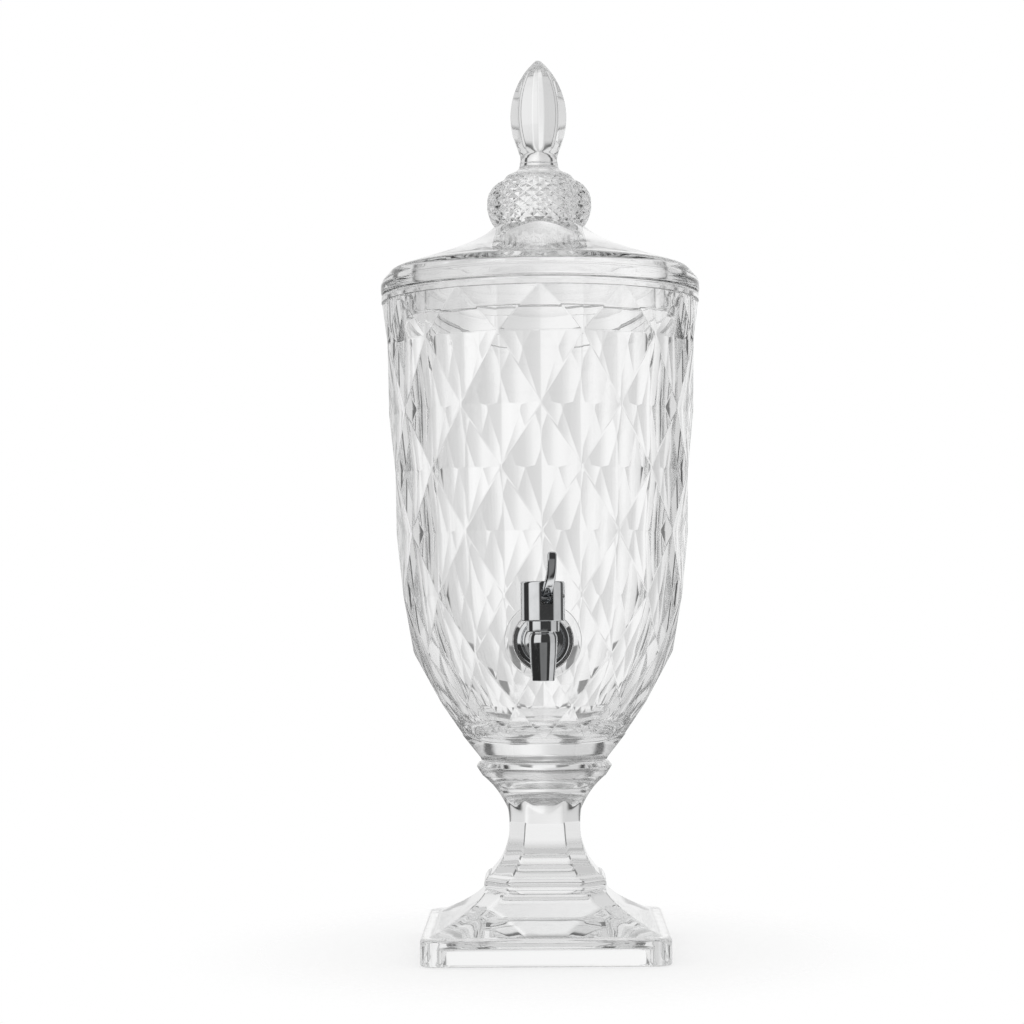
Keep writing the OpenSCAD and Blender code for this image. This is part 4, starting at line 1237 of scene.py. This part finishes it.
def floor():
    """A white floor that fades out into the white surroundings."""
    radius_m = 6.0
    below_m = 0.0002
    fade_m = (0.10, 0.22)
    sheet_from_m = (0.70, 0.80)
    white_share = 0.65
    mesh = bpy.data.meshes.new("floor")
    corners = [(radius_m * math.cos(a), radius_m * math.sin(a), 0) for a in round_steps(96)]
    mesh.from_pydata(corners, [], [tuple(range(len(corners)))])
    ground = linked("floor", mesh)
    ground.location.z = -below_m
    settings = {"Base Color": (0.96, 0.96, 0.96, 1), "Roughness": 0.9, "Specular IOR Level": 0}
    material, tree, shader, output = new_material("floor_white", settings)
    place = add_node(tree, "TexCoord").outputs["Object"]
    distance = add_node(tree, "VectorMath", {0: place}, operation="LENGTH").outputs["Value"]
    # Seen directly or in metal, most of the floor is the white of the surroundings
    seen = add_node(tree, "LightPath").outputs
    view = math_node(tree, "MAXIMUM", seen["Is Glossy Ray"], seen["Is Camera Ray"])
    share = math_node(tree, "MULTIPLY", view, white_share)
    white = add_node(tree, "Emission").outputs["Emission"]
    lit = blend_shaders(tree, share, shader.outputs["BSDF"], white)
    clear = add_node(tree, "BsdfTransparent").outputs["BSDF"]
    near = blend_shaders(tree, rise(tree, distance, *fade_m), lit, clear)
    # Through glass, the foot looks past the floor, and the rest sees the sheet in it
    azimuth = degrees_from_behind(tree, place)[0]
    strength = strength_by(tree, azimuth, AZIMUTH_REACH, SHEET)
    sheet = add_node(tree, "Emission", {"Strength": strength}).outputs["Emission"]
    far = blend_shaders(tree, rise(tree, distance, *sheet_from_m), clear, sheet)
    whole = blend_shaders(tree, seen["Is Transmission Ray"], near, far)
    tree.links.new(whole, output.inputs["Surface"])
    mesh.materials.append(material)


def studio():
    """White surroundings. Glass and metal see dark strips in them, which draw their edges."""
    world = bpy.data.worlds.new("studio")
    bpy.context.scene.world = world
    world.use_nodes = True
    tree = world.node_tree
    tree.nodes.clear()
    place = add_node(tree, "TexCoord").outputs["Generated"]
    azimuth, height = degrees_from_behind(tree, place)
    behind = strength_by(tree, azimuth, AZIMUTH_REACH, SHEET)
    above = strength_by(tree, height, HEIGHT_REACH, (
        (-90, 0.8), (-35, 0.8), (-22, 1.0), (38, 1.0), (48, 0.45), (90, 0.45),
    ))
    # Low dark cards behind the foot draw its edges
    behind_foot = strength_by(tree, azimuth, AZIMUTH_REACH, (
        (-180, 0.80), (-120, 0.88), (-108, 0.65), (-76, 0.65), (-66, 0.88), (-19, 0.80), (-17, 0.25),
        (-9, 0.25), (-7, 0.90), (7, 0.96), (9, 0.25), (17, 0.25), (19, 0.82), (60, 0.88), (68, 0.65),
        (82, 0.65), (92, 0.88), (180, 0.80),
    ))
    below = strength_by(tree, height, HEIGHT_REACH, ((-90, 1.0), (-5.4, 1.0), (-4.8, 0.0), (90, 0.0)))
    through_glass = math_node(tree, "MULTIPLY", choose(tree, below, behind, behind_foot), above)
    # In metal: a dark room in front, a light on each side and dark gaps between them and the sheet
    in_metal = strength_by(tree, azimuth, AZIMUTH_REACH, (
        (-180, 0.05), (-165, 0.05), (-158, 0.88), (-106, 0.90), (-100, 0.04), (-68, 0.04), (-62, 0.70),
        (-20, 0.75), (0, 1.0), (45, 1.0), (52, 0.10), (70, 0.10), (77, 0.62), (118, 0.62), (126, 0.05),
        (180, 0.05),
    ))
    # The spout looks down into a darker room
    in_spout = strength_by(tree, azimuth, AZIMUTH_REACH, (
        (-180, 0.20), (-156, 0.20), (-148, 0.03), (-30, 0.03), (0, 0.30), (40, 0.30), (50, 0.05), (62, 0.05),
        (66, 0.65), (118, 0.70), (123, 0.04), (145, 0.04), (152, 0.22), (180, 0.20),
    ))
    is_low = strength_by(tree, height, HEIGHT_REACH, ((-90, 1.0), (-7, 1.0), (-4.5, 0.0), (90, 0.0)))
    in_metal = choose(tree, is_low, in_metal, in_spout)
    path = add_node(tree, "LightPath").outputs
    light = choose(tree, path["Is Glossy Ray"], 1.0, in_metal)
    light = choose(tree, path["Is Transmission Ray"], light, through_glass)
    background = add_node(tree, "Background", {"Color": (1, 1, 1, 1), "Strength": light})
    add_node(tree, "OutputWorld", {"Surface": background.outputs["Background"]})


def camera():
    """The photograph's view, worked out from its ellipses: distance, height, aim and lean."""
    distance_m = 1.330
    height_m = 0.1989
    focal_px = 2363.0
    frame_px = 1024.0
    horizon_px = 593.0
    axis_px = 542.0
    lean = math.radians(-0.5)
    data = bpy.data.cameras.new("camera")
    data.sensor_width = 36.0
    data.lens = focal_px / frame_px * data.sensor_width
    data.clip_start = 0.01
    data.clip_end = 50
    eye = linked("camera", data)
    pitch = math.atan((horizon_px - frame_px / 2) / focal_px)
    yaw = math.atan((axis_px - frame_px / 2) / focal_px)
    aim = Matrix.Rotation(yaw, 4, "Z") @ Matrix.Rotation(math.pi / 2 + pitch, 4, "X")
    aim = aim @ Matrix.Rotation(lean, 4, "Z")
    eye.matrix_world = Matrix.Translation((0, -distance_m, height_m)) @ aim
    bpy.context.scene.camera = eye


floor()
studio()
camera()
scene = bpy.context.scene
scene.view_settings.view_transform = "Standard"
# Light meets many faces before it leaves thick cut glass
glass_bounces = 96
scene.cycles.max_bounces = glass_bounces
scene.cycles.transmission_bounces = glass_bounces
scene.cycles.glossy_bounces = glass_bounces
scene.cycles.transparent_max_bounces = 16
